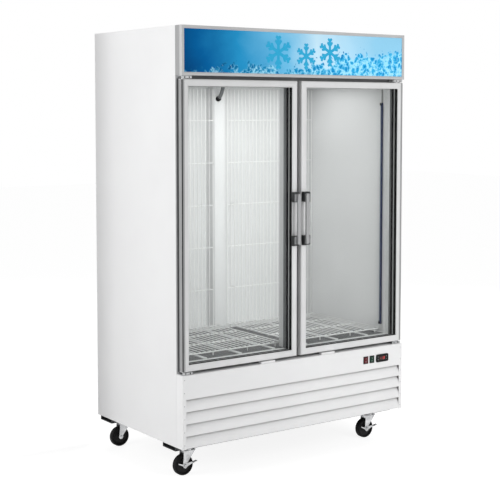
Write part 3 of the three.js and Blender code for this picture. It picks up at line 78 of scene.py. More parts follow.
camera = bpy.data.objects.new("Camera", bpy.data.cameras.new("Camera"))
bpy.context.scene.collection.objects.link(camera)
camera.location = EYE
camera.rotation_euler = (math.pi / 2 - LOOK_DOWN, 0, -TURN_RIGHT)
camera.data.lens = LENS
camera.data.shift_y = LENS_SHIFT
bpy.context.scene.camera = camera
bpy.context.scene.view_settings.view_transform = "Standard"


def connect(tree, node, inputs):
    """Sets inputs, by name or number, each to a value or to another node's output."""
    for key, value in inputs.items():
        if isinstance(value, bpy.types.NodeSocket):
            tree.links.new(value, node.inputs[key])
        else:
            node.inputs[key].default_value = value
    return node


def add_node(tree, kind, inputs, **settings):
    node = tree.nodes.new("ShaderNode" + kind)
    for name, value in settings.items():
        setattr(node, name, value)
    return connect(tree, node, inputs)


def calculated(tree, operation, *values):
    return add_node(tree, "Math", dict(enumerate(values)), operation=operation).outputs[0]


def new_paint(name, inputs):
    material = bpy.data.materials.new(name)
    material.use_nodes = True
    tree = material.node_tree
    return material, tree, connect(tree, tree.nodes["Principled BSDF"], inputs)


def mix_shaders(tree, share, first, second):
    mixed = add_node(tree, "MixShader", {"Fac": share, 1: first.outputs[0], 2: second.outputs[0]})
    connect(tree, tree.nodes["Material Output"], {"Surface": mixed.outputs[0]})


def seen_directly(tree):
    """A value of 1 for what the camera sees, also through glass and in polished metal."""
    path = add_node(tree, "LightPath", {}).outputs
    first = calculated(tree, "MAXIMUM", path["Is Camera Ray"], path["Is Glossy Ray"])
    return calculated(tree, "MAXIMUM", first, path["Is Transmission Ray"])


def deselect():
    bpy.ops.object.select_all(action="DESELECT")


def stage_plane(name, size, material):
    deselect()
    bpy.ops.mesh.primitive_plane_add(size=size, location=(0, 0, 0))
    plane = bpy.context.object
    plane.name = name
    plane.data.materials.append(material)
    plane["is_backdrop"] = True
    return plane


def soft_lamp(name, place, target, size, power):
    lamp = bpy.data.objects.new(name, bpy.data.lights.new(name, "AREA"))
    bpy.context.scene.collection.objects.link(lamp)
    lamp.location = place
    aim = Vector(target) - Vector(place)
    lamp.rotation_euler = aim.to_track_quat("-Z", "Y").to_euler()
    lamp.data.shape = "RECTANGLE"
    lamp.data.size, lamp.data.size_y = size
    lamp.data.energy = power
    return lamp


floor_paint, tree, shader = new_paint("studio floor", {
    "Base Color": (0.9, 0.9, 0.9, 1), "Roughness": 0.9, "Specular IOR Level": 0.1})
glow = add_node(tree, "Emission", {"Strength": FLOOR_GLOW})
share = calculated(tree, "MULTIPLY", seen_directly(tree), FLOOR_GLOW_SHARE)
mix_shaders(tree, share, shader, glow)
stage_plane("studio_floor", FLOOR_SIZE, floor_paint)

world = bpy.data.worlds.new("studio")
bpy.context.scene.world = world
world.use_nodes = True
tree = world.node_tree
strength = add_node(tree, "MapRange", {
    "To Min": SURROUND_LIGHT, "To Max": 1.0, "Value": seen_directly(tree)})
connect(tree, tree.nodes["Background"], {"Color": (1, 1, 1, 1), "Strength": strength.outputs[0]})

soft_lamp("side lamp", (-4.6, 0.5, 2.6), (0, 0, 1.0), (3.0, 3.0), 110)
front_lamp = soft_lamp("front lamp", (0.9, -2.9, 1.6), (0.2, -0.4, 0.9), (1.2, 2.0), 39)
front_lamp.visible_glossy = False
soft_lamp("rear lamp", (3.4, 3.6, 2.6), (0, 0, 1.0), (3.0, 3.0), 75)

# A black board behind the cabinet, outside the picture, darkens the far edge of its side.
board = stage_plane("studio_board", 1, new_paint("studio board", {"Base Color": (0, 0, 0, 1)})[0])
board.data.transform(Matrix.Translation(BOARD_PLACE) @ Matrix.Rotation(math.pi / 2, 4, "X")
                     @ Matrix.Diagonal(BOARD_SIZE))
board.visible_camera = board.visible_glossy = board.visible_transmission = False

# ----
# Cabinet sides: thin steel sheets, folded inwards at the front and the back and powder-coated
# white. The folds are rounded, and the foam inside holds them.

SHEET = 0.0015
SEAM = 0.0003
FINE = 0.0003
FOLD_ROUNDING = 0.0006
GRAIN_DEPTH = 0.0003
MIRROR = Matrix.Scale(-1, 4, (1, 0, 0))
X, Y, Z = 0, 1, 2


def only(piece):
    deselect()
    piece.select_set(True)
    bpy.context.view_layer.objects.active = piece


def named(piece, name):
    piece.name = piece.data.name = name
    return piece


def shade_smooth(piece):
    only(piece)
    bpy.ops.object.shade_smooth_by_angle(angle=math.radians(40))
    return piece


def apply_modifier(piece, kind, **settings):
    only(piece)
    modifier = piece.modifiers.new(kind, kind)
    for name, value in settings.items():
        setattr(modifier, name, value)
    bpy.ops.object.modifier_apply(modifier=modifier.name)


def round_edges(piece, width, segments=3, angle=30):
    apply_modifier(
        piece, "BEVEL", width=width, segments=segments, limit_method="ANGLE",
        angle_limit=math.radians(angle), use_clamp_overlap=True)
    return shade_smooth(piece)


def set_mode(mode):
    bpy.ops.object.mode_set(mode=mode)


def select_all():
    bpy.ops.mesh.select_all(action="SELECT")


def extrude(step):
    bpy.ops.mesh.extrude_region_move(TRANSFORM_OT_translate={"value": step})


def close_mesh():
    """Turns all faces outwards, then goes back to object mode."""
    select_all()
    bpy.ops.mesh.normals_make_consistent(inside=False)
    set_mode("OBJECT")


def draw_line(name, points):
    """One vertex at the first point, extruded on from point to point; left in edit mode."""
    deselect()
    bpy.ops.mesh.primitive_plane_add(size=0.001, location=points[0])
    bpy.ops.object.transform_apply(location=True, rotation=False, scale=False)
    piece = named(bpy.context.object, name)
    set_mode("EDIT")
    bpy.ops.mesh.select_mode(type="VERT")
    select_all()
    bpy.ops.mesh.merge(type="CENTER")
    for start, end in zip(points, points[1:]):
        extrude(Vector(end) - Vector(start))
    select_all()
    return piece


def draw_prism(name, axis, outline, start, end):
    """An outline in the other two coordinates, filled and extruded along an axis."""
    points = [[*spot[:axis], start, *spot[axis:]] for spot in outline]
    piece = draw_line(name, points)
    bpy.ops.mesh.edge_face_add()
    select_all()
    extrude([end - start if axis == number else 0 for number in range(3)])
    close_mesh()
    return piece


def copy_moved(piece, name, move):
    only(piece)
    bpy.ops.object.duplicate(linked=False)
    other = named(bpy.context.object, name)
    other.data.transform(move)
    if move.determinant() < 0:
        other.data.flip_normals()
    return other


def colour_ramp(tree, value, stops):
    """A ramp through stops of (position, colour)."""
    node = add_node(tree, "ValToRGB", {"Fac": value})
    elements = node.color_ramp.elements
    for element, (position, colour) in zip(elements, (stops[0], stops[-1])):
        element.position = position
        element.color = (*colour, 1)
    for position, colour in stops[1:-1]:
        elements.new(position).color = (*colour, 1)
    return node.outputs["Color"]


def surface(name, dark, light, rough, metal=0.0, cloud=3.0, grain=900.0, relief=0.04,
            stretch=(1, 1, 1), shine=0.5):
    """A finish with soft clouds of colour, uneven gloss and a fine grain, in metres."""
    material, tree, shader = new_paint(name, {"Metallic": metal, "Specular IOR Level": shine})
    spot = add_node(tree, "TexCoord", {}).outputs["Object"]
    place = add_node(tree, "Mapping", {"Scale": stretch, "Vector": spot}).outputs[0]
    clouds = add_node(tree, "TexNoise", {"Scale": cloud, "Detail": 5, "Vector": place})
    grains = add_node(tree, "TexNoise", {"Scale": grain, "Detail": 2, "Vector": place})
    clouds, grains = clouds.outputs["Fac"], grains.outputs["Fac"]
    gloss = add_node(tree, "MapRange", {"To Min": rough[0], "To Max": rough[1], "Value": clouds})
    bump = add_node(
        tree, "Bump", {"Strength": relief, "Distance": GRAIN_DEPTH, "Height": grains})
    connect(tree, shader, {
        "Base Color": colour_ramp(tree, clouds, [(0.3, dark), (0.7, light)]),
        "Roughness": gloss.outputs[0], "Normal": bump.outputs[0]})
    return material


def dress(piece, material, slot, *nodes, body="cabinet"):
    """Gives a piece its finish and its place on a body, and hides the nodes it stands for."""
    piece.data.materials.clear()
    piece.data.materials.append(material)
    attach(piece, body)
    if nodes:
        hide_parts(*nodes)


def dress_pair(piece, material, slot, *nodes, body="cabinet"):
    """Dresses a right-hand piece, and a mirrored copy of it under the same names with left."""
    name, left_body, *left_nodes = [
        word.replace("right_", "left_") for word in (piece.name, body, *nodes)]
    other = copy_moved(piece, name, MIRROR)
    dress(piece, material, slot, *nodes, body=body)
    dress(other, material, slot, *left_nodes, body=left_body)


white_coat = surface(
    "white powder coat", (0.83, 0.83, 0.835), (0.86, 0.862, 0.865), (0.42, 0.5), grain=420.0,
    relief=0.05)

side_low, side_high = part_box("right_side_panel")
outer_x, fold_x = side_high.x, side_low.x
inner_x = outer_x - SHEET
front_y, back_y = side_low.y, side_high.y
rear_fold = back_y - SHEET - SEAM
right_side = draw_prism("right_cabinet_side", Z, [
    (outer_x, front_y), (outer_x, back_y), (inner_x, back_y), (inner_x, rear_fold),
    (fold_x, rear_fold), (fold_x, rear_fold - SHEET), (inner_x, rear_fold - SHEET),
    (inner_x, front_y + SHEET), (fold_x, front_y + SHEET), (fold_x, front_y)],
    side_low.z, side_high.z)
round_edges(right_side, FOLD_ROUNDING)
dress_pair(right_side, white_coat, "white_paint", "right_side_panel")

# ----
# Top and back: the top is one sheet with turned-down edges. The back is a flat sheet held by
# countersunk screws round its edge.

BACK_FACE_SETBACK = 0.0006
SCREW_RADIUS = 0.0042
SCREW_SPACING = 0.21
SCREW_INSET = 0.012


def draw_turned(name, centre, axis, profile, steps):
    """A profile of (radius, distance along the axis), spun round the axis. It may be a ring."""
    points = [list(centre) for spot in profile]
    for point, (radius, along) in zip(points, profile):
        point[X] += radius
        point[axis] += along
    piece = draw_line(name, points)
    bpy.ops.mesh.spin(steps=steps, angle=2 * math.pi, center=centre,
                      axis=[axis == number for number in range(3)])
    select_all()
    bpy.ops.mesh.remove_doubles(threshold=0.000005)
    close_mesh()
    return shade_smooth(piece)


def set_block(name, low, high, rounding=0, segments=2):
    deselect()
    middle = [(a + b) / 2 for a, b in zip(low, high)]
    size = [b - a for a, b in zip(low, high)]
    bpy.ops.mesh.primitive_cube_add(size=1, location=middle, scale=size)
    bpy.ops.object.transform_apply(location=True, rotation=False, scale=True)
    piece = named(bpy.context.object, name)
    return round_edges(piece, rounding, segments) if rounding else piece


def join_all(name, pieces):
    deselect()
    for piece in pieces:
        piece.select_set(True)
    bpy.context.view_layer.objects.active = pieces[0]
    bpy.ops.object.join()
    return named(pieces[0], name)


def spread(name, piece, places):
    """Copies of a piece at the places, joined. The piece itself is removed."""
    copies = [copy_moved(piece, name, Matrix.Translation(place)) for place in places]
    bpy.data.objects.remove(piece)
    return join_all(name, copies)


low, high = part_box("top_panel")
top = draw_prism("cabinet_top", Y, [
    (low.x, low.z), (low.x, high.z), (high.x, high.z), (high.x, low.z), (high.x - SHEET, low.z),
    (high.x - SHEET, high.z - SHEET), (low.x + SHEET, high.z - SHEET), (low.x + SHEET, low.z)],
    low.y, high.y)
dress(round_edges(top, FOLD_ROUNDING), white_coat, "white_paint", "top_panel")

low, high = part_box("back_panel")
back = set_block("cabinet_back", low, (high.x, high.y - BACK_FACE_SETBACK, high.z), FINE)
dress(back, white_coat, "white_paint", "back_panel")

back_screw = draw_turned(
    "back_screw", (low.x + SCREW_INSET, high.y, low.z + SCREW_INSET), Y,
    [(0, 0), (SCREW_RADIUS * 0.9, 0), (SCREW_RADIUS, -0.0003), (SCREW_RADIUS * 0.5, -0.0014),
     (0, -0.0014)], 16)
width, height = high.x - low.x - 2 * SCREW_INSET, high.z - low.z - 2 * SCREW_INSET
columns, rows = int(width / SCREW_SPACING), int(height / SCREW_SPACING)
back_screws = spread("back_screws", back_screw, [
    (column * width / columns, 0, row * height / rows)
    for row in range(rows + 1) for column in range(columns + 1)
    if row in (0, rows) or column in (0, columns)])
zinc = surface(
    "zinc plate", (0.40, 0.41, 0.42), (0.56, 0.565, 0.57), (0.3, 0.46), metal=1.0, cloud=60.0,
    grain=1400.0, relief=0.08)
dress(back_screws, zinc, "zinc")

# ----
# Foam: rigid polyurethane blown between the steel sheets. It never shows, so the solid stays
# as it is and only gets its colour and its fine cells.


def refinish(node, material):
    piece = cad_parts[node]
    piece.data.materials.clear()
    piece.data.materials.append(material)


refinish("insulation_body", surface(
    "rigid foam", (0.66, 0.55, 0.30), (0.80, 0.70, 0.42), (0.85, 0.95), cloud=14.0, grain=260.0,
    relief=0.6))

# ----
# Inner liner: one white formed sheet, a wide room behind a lower mouth. Six bars are pressed up
# in its floor; dark grey sheets in the hollows between them are painted shade of the racks above.

LINER_CORNER = 0.006
DOOR_FACE = 0.032
LINTEL = 0.0486
BARS = 6
BAR_SPACING = 0.2
BAR_WIDTH = 0.022
BAR_HEIGHT = 0.006
BAR_GAP = 0.0006
HOLLOW_SHADE_SHEET = 0.0008
HOLLOW_MARGIN = 0.004
FLOOR_FRONT = -0.314


def pick_faces(piece, wanted):
    """Goes into edit mode with the faces selected whose centre and normal are the wanted ones."""
    only(piece)
    set_mode("EDIT")
    bpy.ops.mesh.select_mode(type="FACE")
    bpy.ops.mesh.select_all(action="DESELECT")
    mesh = bmesh.from_edit_mesh(piece.data)
    for face in mesh.faces:
        face.select_set(wanted(face.calc_center_median(), face.normal))
    bmesh.update_edit_mesh(piece.data)


def in_a_row(piece, count, step):
    apply_modifier(
        piece, "ARRAY", count=count, use_relative_offset=False, use_constant_offset=True,
        constant_offset_displace=step)
    return piece


low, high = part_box("inner_liner")
door_low, door_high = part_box("right_door_frame")
rack_low, rack_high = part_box("right_floor_rack")
room_half = high.x - SHEET
room_floor = low.z + SHEET
mouth_top = door_high.z - DOOR_FACE
room_front = low.y + LINTEL

liner = set_block(
    "liner_sheet", (-room_half, room_front, room_floor),
    (room_half, high.y - SHEET, high.z - SHEET))
set_mode("EDIT")
select_all()
bpy.ops.mesh.bisect(plane_co=(0, 0, mouth_top), plane_no=(0, 0, 1))
set_mode("OBJECT")
pick_faces(liner, lambda centre, normal: normal.y < -0.9 and centre.z < mouth_top)
extrude((0, low.y - room_front, 0))
bpy.ops.mesh.delete(type="FACE")
set_mode("OBJECT")
round_edges(liner, LINER_CORNER, 4)
apply_modifier(liner, "SOLIDIFY", thickness=SHEET, offset=1.0)

first_bar = -BAR_SPACING * (BARS - 1) / 2
bar = set_block(
    "floor_bars", (first_bar - BAR_WIDTH / 2, FLOOR_FRONT, room_floor - SHEET / 2),
    (first_bar + BAR_WIDTH / 2, rack_high.y, room_floor + BAR_HEIGHT), 0.0025, 3)
in_a_row(bar, BARS, (BAR_SPACING, 0, 0))
liner_white = surface(
    "white liner sheet", (0.70, 0.703, 0.706), (0.75, 0.752, 0.755), (0.4, 0.5), grain=300.0)
dress(join_all("liner_sheet", [liner, bar]), liner_white, "liner", "inner_liner")

hollow_edges = [-room_half + LINER_CORNER]
for number in range(BARS):
    for side in (-1, 1):
        hollow_edges.append(
            first_bar + number * BAR_SPACING + side * (BAR_WIDTH / 2 + BAR_GAP))
hollow_edges.append(room_half - LINER_CORNER)
hollows = [
    set_block("floor_hollow", (left, FLOOR_FRONT + HOLLOW_MARGIN, room_floor + 0.0001),
              (right, rack_high.y - HOLLOW_MARGIN, room_floor + HOLLOW_SHADE_SHEET), FINE)
    for left, right in zip(hollow_edges[::2], hollow_edges[1::2])]
# Painted shade: the dark grey of these sheets stands for the shade that the racks cast on the
# floor.
floor_shade_grey = surface(
    "painted floor shade", (0.14, 0.142, 0.145), (0.18, 0.182, 0.185), (0.45, 0.6), metal=0.1,
    cloud=9.0, grain=500.0)
dress(join_all("floor_hollow_shade", hollows), floor_shade_grey, "anodised")

# ----
# Door surround and mullion: extruded grey plastic strips over the seam between shell and liner.
# A thin white lip lines the mouth, and the post between the doors has a dark cap in front.

SURROUND = 0.0027
LIP = 0.0015
LIP_DEPTH = 0.022
MITRE_GAP = 0.00012
CAP_DEPTH = 0.022
CUT = 0.01


def cut_away(piece, *cutters):
    for cutter in cutters:
        apply_modifier(piece, "BOOLEAN", operation="DIFFERENCE", object=cutter, solver="EXACT")
        bpy.data.objects.remove(cutter)


def mitred_bars(name, low, high, section):
    """Four sawn bars round a rectangle. Their section is (inset from the outer edge, depth)."""
    centre = ((low[X] + high[X]) / 2, 0, (low[Z] + high[Z]) / 2)
    half_width, half_height = (high[X] - low[X]) / 2, (high[Z] - low[Z]) / 2
    bars = []
    for turn in range(4):
        along, out = (half_width, half_height) if turn % 2 == 0 else (half_height, half_width)
        loop = [(low[Y] + depth, out - inset) for inset, depth in section + section[:1]]
        bar = draw_prism(name, X, loop, -along, along)
        set_mode("EDIT")
        for end in (-1, 1):
            select_all()
            bpy.ops.mesh.bisect(
                plane_co=(end * (along - MITRE_GAP), 0, out), plane_no=(end, 0, -1),
                use_fill=True, clear_outer=True)
        close_mesh()
        turned = Matrix.Rotation(turn * math.pi / 2, 4, "Y")
        bar.data.transform(Matrix.Translation(centre) @ turned)
        bars.append(bar)
    return join_all(name, bars)


low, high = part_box("door_surround")
front = low.y
surround = set_block("surround_strip", low, (high.x, front + SURROUND, high.z))
cut_away(surround, set_block(
    "mouth", (-room_half, front - CUT, room_floor), (room_half, front + CUT, mouth_top)))
grey_trim = surface(
    "grey trim plastic", (0.155, 0.158, 0.162), (0.185, 0.188, 0.192), (0.5, 0.62), cloud=8.0,
    grain=1200.0, relief=0.1)
dress(round_edges(surround, 0.0006), grey_trim, "dark_plastic", "door_surround")

mouth_lip = mitred_bars(
    "mouth_lip", (-room_half, front, room_floor), (room_half, front, mouth_top),
    [(FINE, 0), (FINE + LIP, 0), (FINE + LIP, LIP_DEPTH), (FINE, LIP_DEPTH)])
dress(round_edges(mouth_lip, FINE, 2), liner_white, "liner")

low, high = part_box("mullion")
half, narrow, taper = high.x, high.x - 0.004, 0.004
cap_y = front + CAP_DEPTH
mullion_cap = draw_prism("mullion_cap", Z, [
    (-half, front), (-0.006, front), (-0.005, front + 0.0012), (0.005, front + 0.0012),
    (0.006, front), (half, front), (half, cap_y), (-half, cap_y), (-half, front)], low.z, high.z)
dress(round_edges(mullion_cap, 0.0008), grey_trim, "dark_plastic", "mullion")
mullion_post = draw_prism("mullion_post", Z, [
    (-narrow, cap_y), (narrow, cap_y), (narrow, high.y - taper), (narrow - taper, high.y),
    (taper - narrow, high.y), (-narrow, high.y - taper), (-narrow, cap_y)], low.z, high.z)
dress(round_edges(mullion_post, 0.001), liner_white, "liner")

# ----
# Door frames: anodised aluminium extrusions, sawn and joined at mitres, with a bead that holds
# the glass. A grey strip and a black block on the outer edge are painted shade. Hinge pins turn in
# bores.

FRAME_EDGE = 0.006
FRAME_POCKET = 0.024
FRAME_LIP = 0.004
BEAD = 0.0062
BORE_RADIUS = 0.0044
BORE_DEPTH = 0.0143
HINGE_INSET = 0.013


def draw_rod(name, start, end, radius, sides=12, rounding=0.3):
    """A round bar between two points, its ends taken off by a part of its radius."""
    axis = Vector(end) - Vector(start)
    deselect()
    bpy.ops.mesh.primitive_cylinder_add(
        vertices=sides, radius=radius, depth=axis.length,
        location=(Vector(start) + Vector(end)) / 2,
        rotation=axis.to_track_quat("Z", "Y").to_euler())
    bpy.ops.object.transform_apply(location=True, rotation=True, scale=False)
    rod = named(bpy.context.object, name)
    return round_edges(rod, rounding * radius, 1, 65) if rounding else rod


front, back = door_low.y, door_high.y
bead, depth = DOOR_FACE - BEAD, back - front
right_frame = mitred_bars("right_frame_bars", door_low, door_high, [
    (0, FRAME_EDGE), (0.12 * FRAME_EDGE, 0.6 * FRAME_EDGE), (0.4 * FRAME_EDGE, 0.25 * FRAME_EDGE),
    (FRAME_EDGE, 0), (bead, 0), (bead + 0.0004, 0.0007), (bead + 0.0013, 0.0007),
    (bead + 0.0017, 0), (DOOR_FACE - 0.0012, 0), (DOOR_FACE, 0.0012), (DOOR_FACE, FRAME_LIP),
    (FRAME_POCKET, FRAME_LIP), (FRAME_POCKET, depth - FRAME_LIP), (DOOR_FACE, depth - FRAME_LIP),
    (DOOR_FACE, depth), (0, depth), (0, 0.0115), (0.0035, 0.011), (0.0035, 0.0075), (0, 0.007)])
hinge_x, hinge_y = door_high.x - HINGE_INSET, (front + back) / 2
for start, end in ((door_high.z - BORE_DEPTH, door_high.z + CUT),
                   (door_low.z - CUT, door_low.z + BORE_DEPTH)):
    cut_away(right_frame, draw_rod(
        "bore", (hinge_x, hinge_y, start), (hinge_x, hinge_y, end), BORE_RADIUS, 24, 0))
round_edges(right_frame, FINE, 2)
door_silver = surface(
    "anodised door silver", (0.70, 0.703, 0.706), (0.76, 0.763, 0.766), (0.45, 0.55), metal=0.15,
    cloud=5.0, grain=1500.0, relief=0.03, shine=0.3)
dress_pair(right_frame, door_silver, "anodised", "right_door_frame", body="right_door")

# Painted shade: grey strips on the outer side face and on the front beside it stand for the shade
# of the frame's rounded outer edge.
edge = door_high.x
strip_low, strip_high = door_low.z + 0.002, door_high.z - 0.002
edge_shade_strip = join_all("right_edge_strip", [
    set_block("strip", (edge - 0.0004, front + 0.0048, strip_low),
              (edge + 0.0006, back - 0.0006, strip_high)),
    set_block("strip", (edge - 0.0115, front - 0.0006, strip_low),
              (edge - 0.0030, front + 0.003, strip_high))])
edge_shade_grey = surface(
    "painted edge shade grey", (0.31, 0.313, 0.317), (0.36, 0.363, 0.367), (0.5, 0.62), cloud=6.0,
    grain=1200.0, relief=0.06)
dress_pair(round_edges(edge_shade_strip, FINE, 2), edge_shade_grey, "anodised", body="right_door")
# Painted shade: a black rubber block at the front outer corner stands for the dark shade of that
# corner.
shade_groove = set_block(
    "right_edge_groove", (edge - 0.0029, front + 0.0005, strip_low + 0.0001),
    (edge + 0.0002, front + 0.0046, strip_high - 0.0001), 0.0008)
black_rubber = surface(
    "black gasket rubber", (0.005, 0.005, 0.0055), (0.009, 0.009, 0.0095), (0.6, 0.75), cloud=25.0,
    grain=800.0, relief=0.12, shine=0.2)
dress_pair(shade_groove, black_rubber, "seal", body="right_door")

# ----
# Sealed glass units: two clear panes of float glass on a black spacer, with dry air between
# them. Each unit is glued in the pocket of its door frame.

PANE = 0.004
SPACER_WIDTH = 0.0085


def clear_glass():
    """Panes that let the light straight through and mirror a little more at a glancing angle."""
    material, tree, shader = new_paint("clear pane", {})
    tree.nodes.remove(shader)
    spot = add_node(tree, "TexCoord", {}).outputs["Object"]
    haze = add_node(tree, "TexNoise", {"Scale": 2.0, "Vector": spot}).outputs["Fac"]
    tint = colour_ramp(tree, haze, [(0, (0.988, 0.994, 0.991)), (1, (0.994, 0.998, 0.996))])
    # Only outer faces mirror, and a mirrored ray goes straight through the next pane.
    share = add_node(tree, "Fresnel", {"IOR": 1.12}).outputs["Fac"]
    for node, output in (("NewGeometry", "Backfacing"), ("LightPath", "Is Glossy Ray")):
        source = add_node(tree, node, {}).outputs[output]
        share = calculated(tree, "MULTIPLY", share, calculated(tree, "SUBTRACT", 1.0, source))
    mix_shaders(tree, share, add_node(tree, "BsdfTransparent", {"Color": tint}),
                add_node(tree, "BsdfGlossy", {"Roughness": 0.02}))
    return material


low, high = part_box("right_door_glass")
right_panes = join_all("right_panes", [
    set_block("right_front_pane", low, (high.x, low.y + PANE, high.z), 0.0005),
    set_block("right_back_pane", (low.x, high.y - PANE, low.z), high, 0.0005)])
dress_pair(right_panes, clear_glass(), "glass", "right_door_glass", body="right_door")
near, far = PANE + 0.0001, high.y - low.y - PANE - 0.0001
waist = SPACER_WIDTH - 0.001
right_spacer = mitred_bars("right_spacer", low, high, [
    (0.0002, near), (SPACER_WIDTH, near), (SPACER_WIDTH, near + 0.004), (waist, near + 0.0045),
    (waist, far - 0.0045), (SPACER_WIDTH, far - 0.004), (SPACER_WIDTH, far), (0.0002, far)])
black_spacer = surface(
    "black spacer", (0.004, 0.004, 0.0043), (0.007, 0.007, 0.0075), (0.6, 0.75), cloud=30.0,
    shine=0.15)
dress_pair(right_spacer, black_spacer, "seal", body="right_door")

# ----
# Gaskets: black rubber bellows with a magnet strip in the face that meets the surround, pressed
# into the back of the door frames and welded at the corners.

GASKET_WIDTH = 0.018
GASKET_FOLD = 0.0035
GASKET_WAVE = 0.0016

low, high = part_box("right_door_gasket")
depth = high.y - low.y
pleat = (depth - 0.0058) / 4
folds = [(GASKET_FOLD - GASKET_WAVE * (fold % 2), 0.0026 + fold * pleat) for fold in range(4)]
right_gasket = mitred_bars("right_gasket_bellows", low, high, [
    (0, 0), (GASKET_WIDTH, 0), (GASKET_WIDTH, 0.0016),
    *[(GASKET_WIDTH - inset, y) for inset, y in folds], (GASKET_WIDTH, depth - 0.0034),
    (GASKET_WIDTH, depth - 0.0006), (GASKET_WIDTH - 0.0006, depth), (0.0006, depth),
    (0, depth - 0.0006), (0, depth - 0.0034), *reversed(folds), (0, 0.0016)])
dress_pair(right_gasket, black_rubber, "seal", "right_door_gasket", body="right_door")

# ----
# Handles: a satin steel bar with round ends, carried by a moulded block near each end. The blocks
# are screwed to the meeting stile from behind and have a steel plate let into their front.

MOUNT_CORNER = 0.009
MOUNT_REACH = (0.013, 0.050)
LOWER_BLOCK_RISE = 0.010
BAR_HALF = 0.0085
BAR_ROUNDING = 0.0022


def arc(centre, radius, first, last, steps):
    """Points on an arc, in degrees, as (across, up)."""
    turns = [math.radians(first + (last - first) * i / steps) for i in range(steps + 1)]
    return [(centre[0] + radius * math.cos(a), centre[1] + radius * math.sin(a)) for a in turns]


low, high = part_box("right_handle_upper_mount")
bar_low, bar_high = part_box("right_handle_bar")
upper_mount = draw_prism("right_upper_block", X, [
    (high.y, low.z), (high.y, high.z),
    *arc((low.y + MOUNT_CORNER, high.z - MOUNT_CORNER), MOUNT_CORNER, 90, 180, 8),
    (low.y, low.z), (high.y, low.z)], *MOUNT_REACH)
round_edges(upper_mount, 0.0018)
face_plate = set_block(
    "right_upper_plate", (MOUNT_REACH[0] + 0.002, low.y - 0.0003, low.z + 0.003),
    (MOUNT_REACH[1] - 0.002, low.y + 0.002, high.z - MOUNT_CORNER), 0.0006)
flipped = (Matrix.Translation((0, 0, bar_low.z + bar_high.z + LOWER_BLOCK_RISE))
           @ Matrix.Scale(-1, 4, (0, 0, 1)))
block_plastic = surface(
    "dark block plastic", (0.014, 0.015, 0.016), (0.024, 0.025, 0.027), (0.4, 0.52), cloud=20.0,
    grain=1800.0, relief=0.12)
brushed_steel = surface(
    "brushed steel", (0.34, 0.345, 0.35), (0.42, 0.425, 0.43), (0.36, 0.46), metal=0.45,
    cloud=120.0, grain=900.0, relief=0.1, stretch=(1, 1, 0.03))
plate_steel = surface(
    "dull plate steel", (0.20, 0.203, 0.207), (0.27, 0.273, 0.277), (0.45, 0.55), metal=0.3,
    cloud=60.0, grain=900.0, relief=0.1)
for piece, name, material, slot, nodes in (
        (upper_mount, "right_handle_blocks", block_plastic, "dark_plastic",
         ("right_handle_upper_mount", "right_handle_lower_mount")),
        (face_plate, "right_handle_plates", plate_steel, "brushed", ())):
    both = join_all(name, [piece, copy_moved(piece, name, flipped)])
    dress_pair(both, material, slot, *nodes, body="right_door")

bar_middle = (bar_low.x + bar_high.x) / 2 - 0.002
bar_outline = arc((bar_middle, bar_high.z - BAR_HALF), BAR_HALF, 0, 180, 20)
bar_outline += arc((bar_middle, bar_low.z + LOWER_BLOCK_RISE + BAR_HALF), BAR_HALF, 180, 360, 20)
right_bar = draw_prism(
    "right_grip_bar", Y, bar_outline + bar_outline[:1], bar_low.y, bar_high.y)
round_edges(right_bar, BAR_ROUNDING, 4)
dress_pair(right_bar, brushed_steel, "brushed", "right_handle_bar", body="right_door")

# ----
# Hinges: zinc-plated steel folded into a shallow channel, with a collar and a pin that go into
# the door frame. Two dark screws hold each one to the cabinet.

HINGE_PLATE = 0.004
HINGE_LIP = 0.003
HINGE_GAP = 0.0025
COLLAR_RADIUS = 0.007
PIN_RADIUS = 0.004
PIN_LENGTH = 0.014
SCREW_PITCH = 0.025

# Painted light: a lighter copy of the zinc, used on the upper hinges only, which are the same
# plated steel as the lower ones.
zinc_painted_light = surface(
    "bright zinc", (0.50, 0.51, 0.52), (0.68, 0.685, 0.69), (0.25, 0.4), metal=0.9, cloud=80.0,
    grain=1400.0, relief=0.08)
dark_screw = surface(
    "dark screw steel", (0.02, 0.02, 0.021), (0.035, 0.035, 0.037), (0.4, 0.55), metal=0.3,
    cloud=120.0)


def draw_hinge(name, low, high, inner, up):
    """A channel that opens towards the door, whose edge is at inner; up is 1 or -1."""
    outer = high.z if up > 0 else low.z
    mouth, floor = inner + up * HINGE_GAP, outer - up * HINGE_PLATE
    channel = draw_prism(name, X, [
        (low.y, mouth), (low.y, outer), (high.y, outer), (high.y, mouth),
        (high.y - HINGE_LIP, mouth), (high.y - HINGE_LIP, floor), (low.y + HINGE_LIP, floor),
        (low.y + HINGE_LIP, mouth), (low.y, mouth)], low.x, high.x)
    round_edges(channel, 0.0008)
    collar = draw_rod(
        name, (hinge_x, hinge_y, inner + up * 0.0003),
        (hinge_x, hinge_y, outer - up * HINGE_PLATE / 2), COLLAR_RADIUS, 28, 0.1)
    pin = draw_rod(
        name, (hinge_x, hinge_y, inner - up * PIN_LENGTH),
        (hinge_x, hinge_y, inner + up * 0.002), PIN_RADIUS, 24, 0.25)
    return join_all(name, [channel, collar, pin])


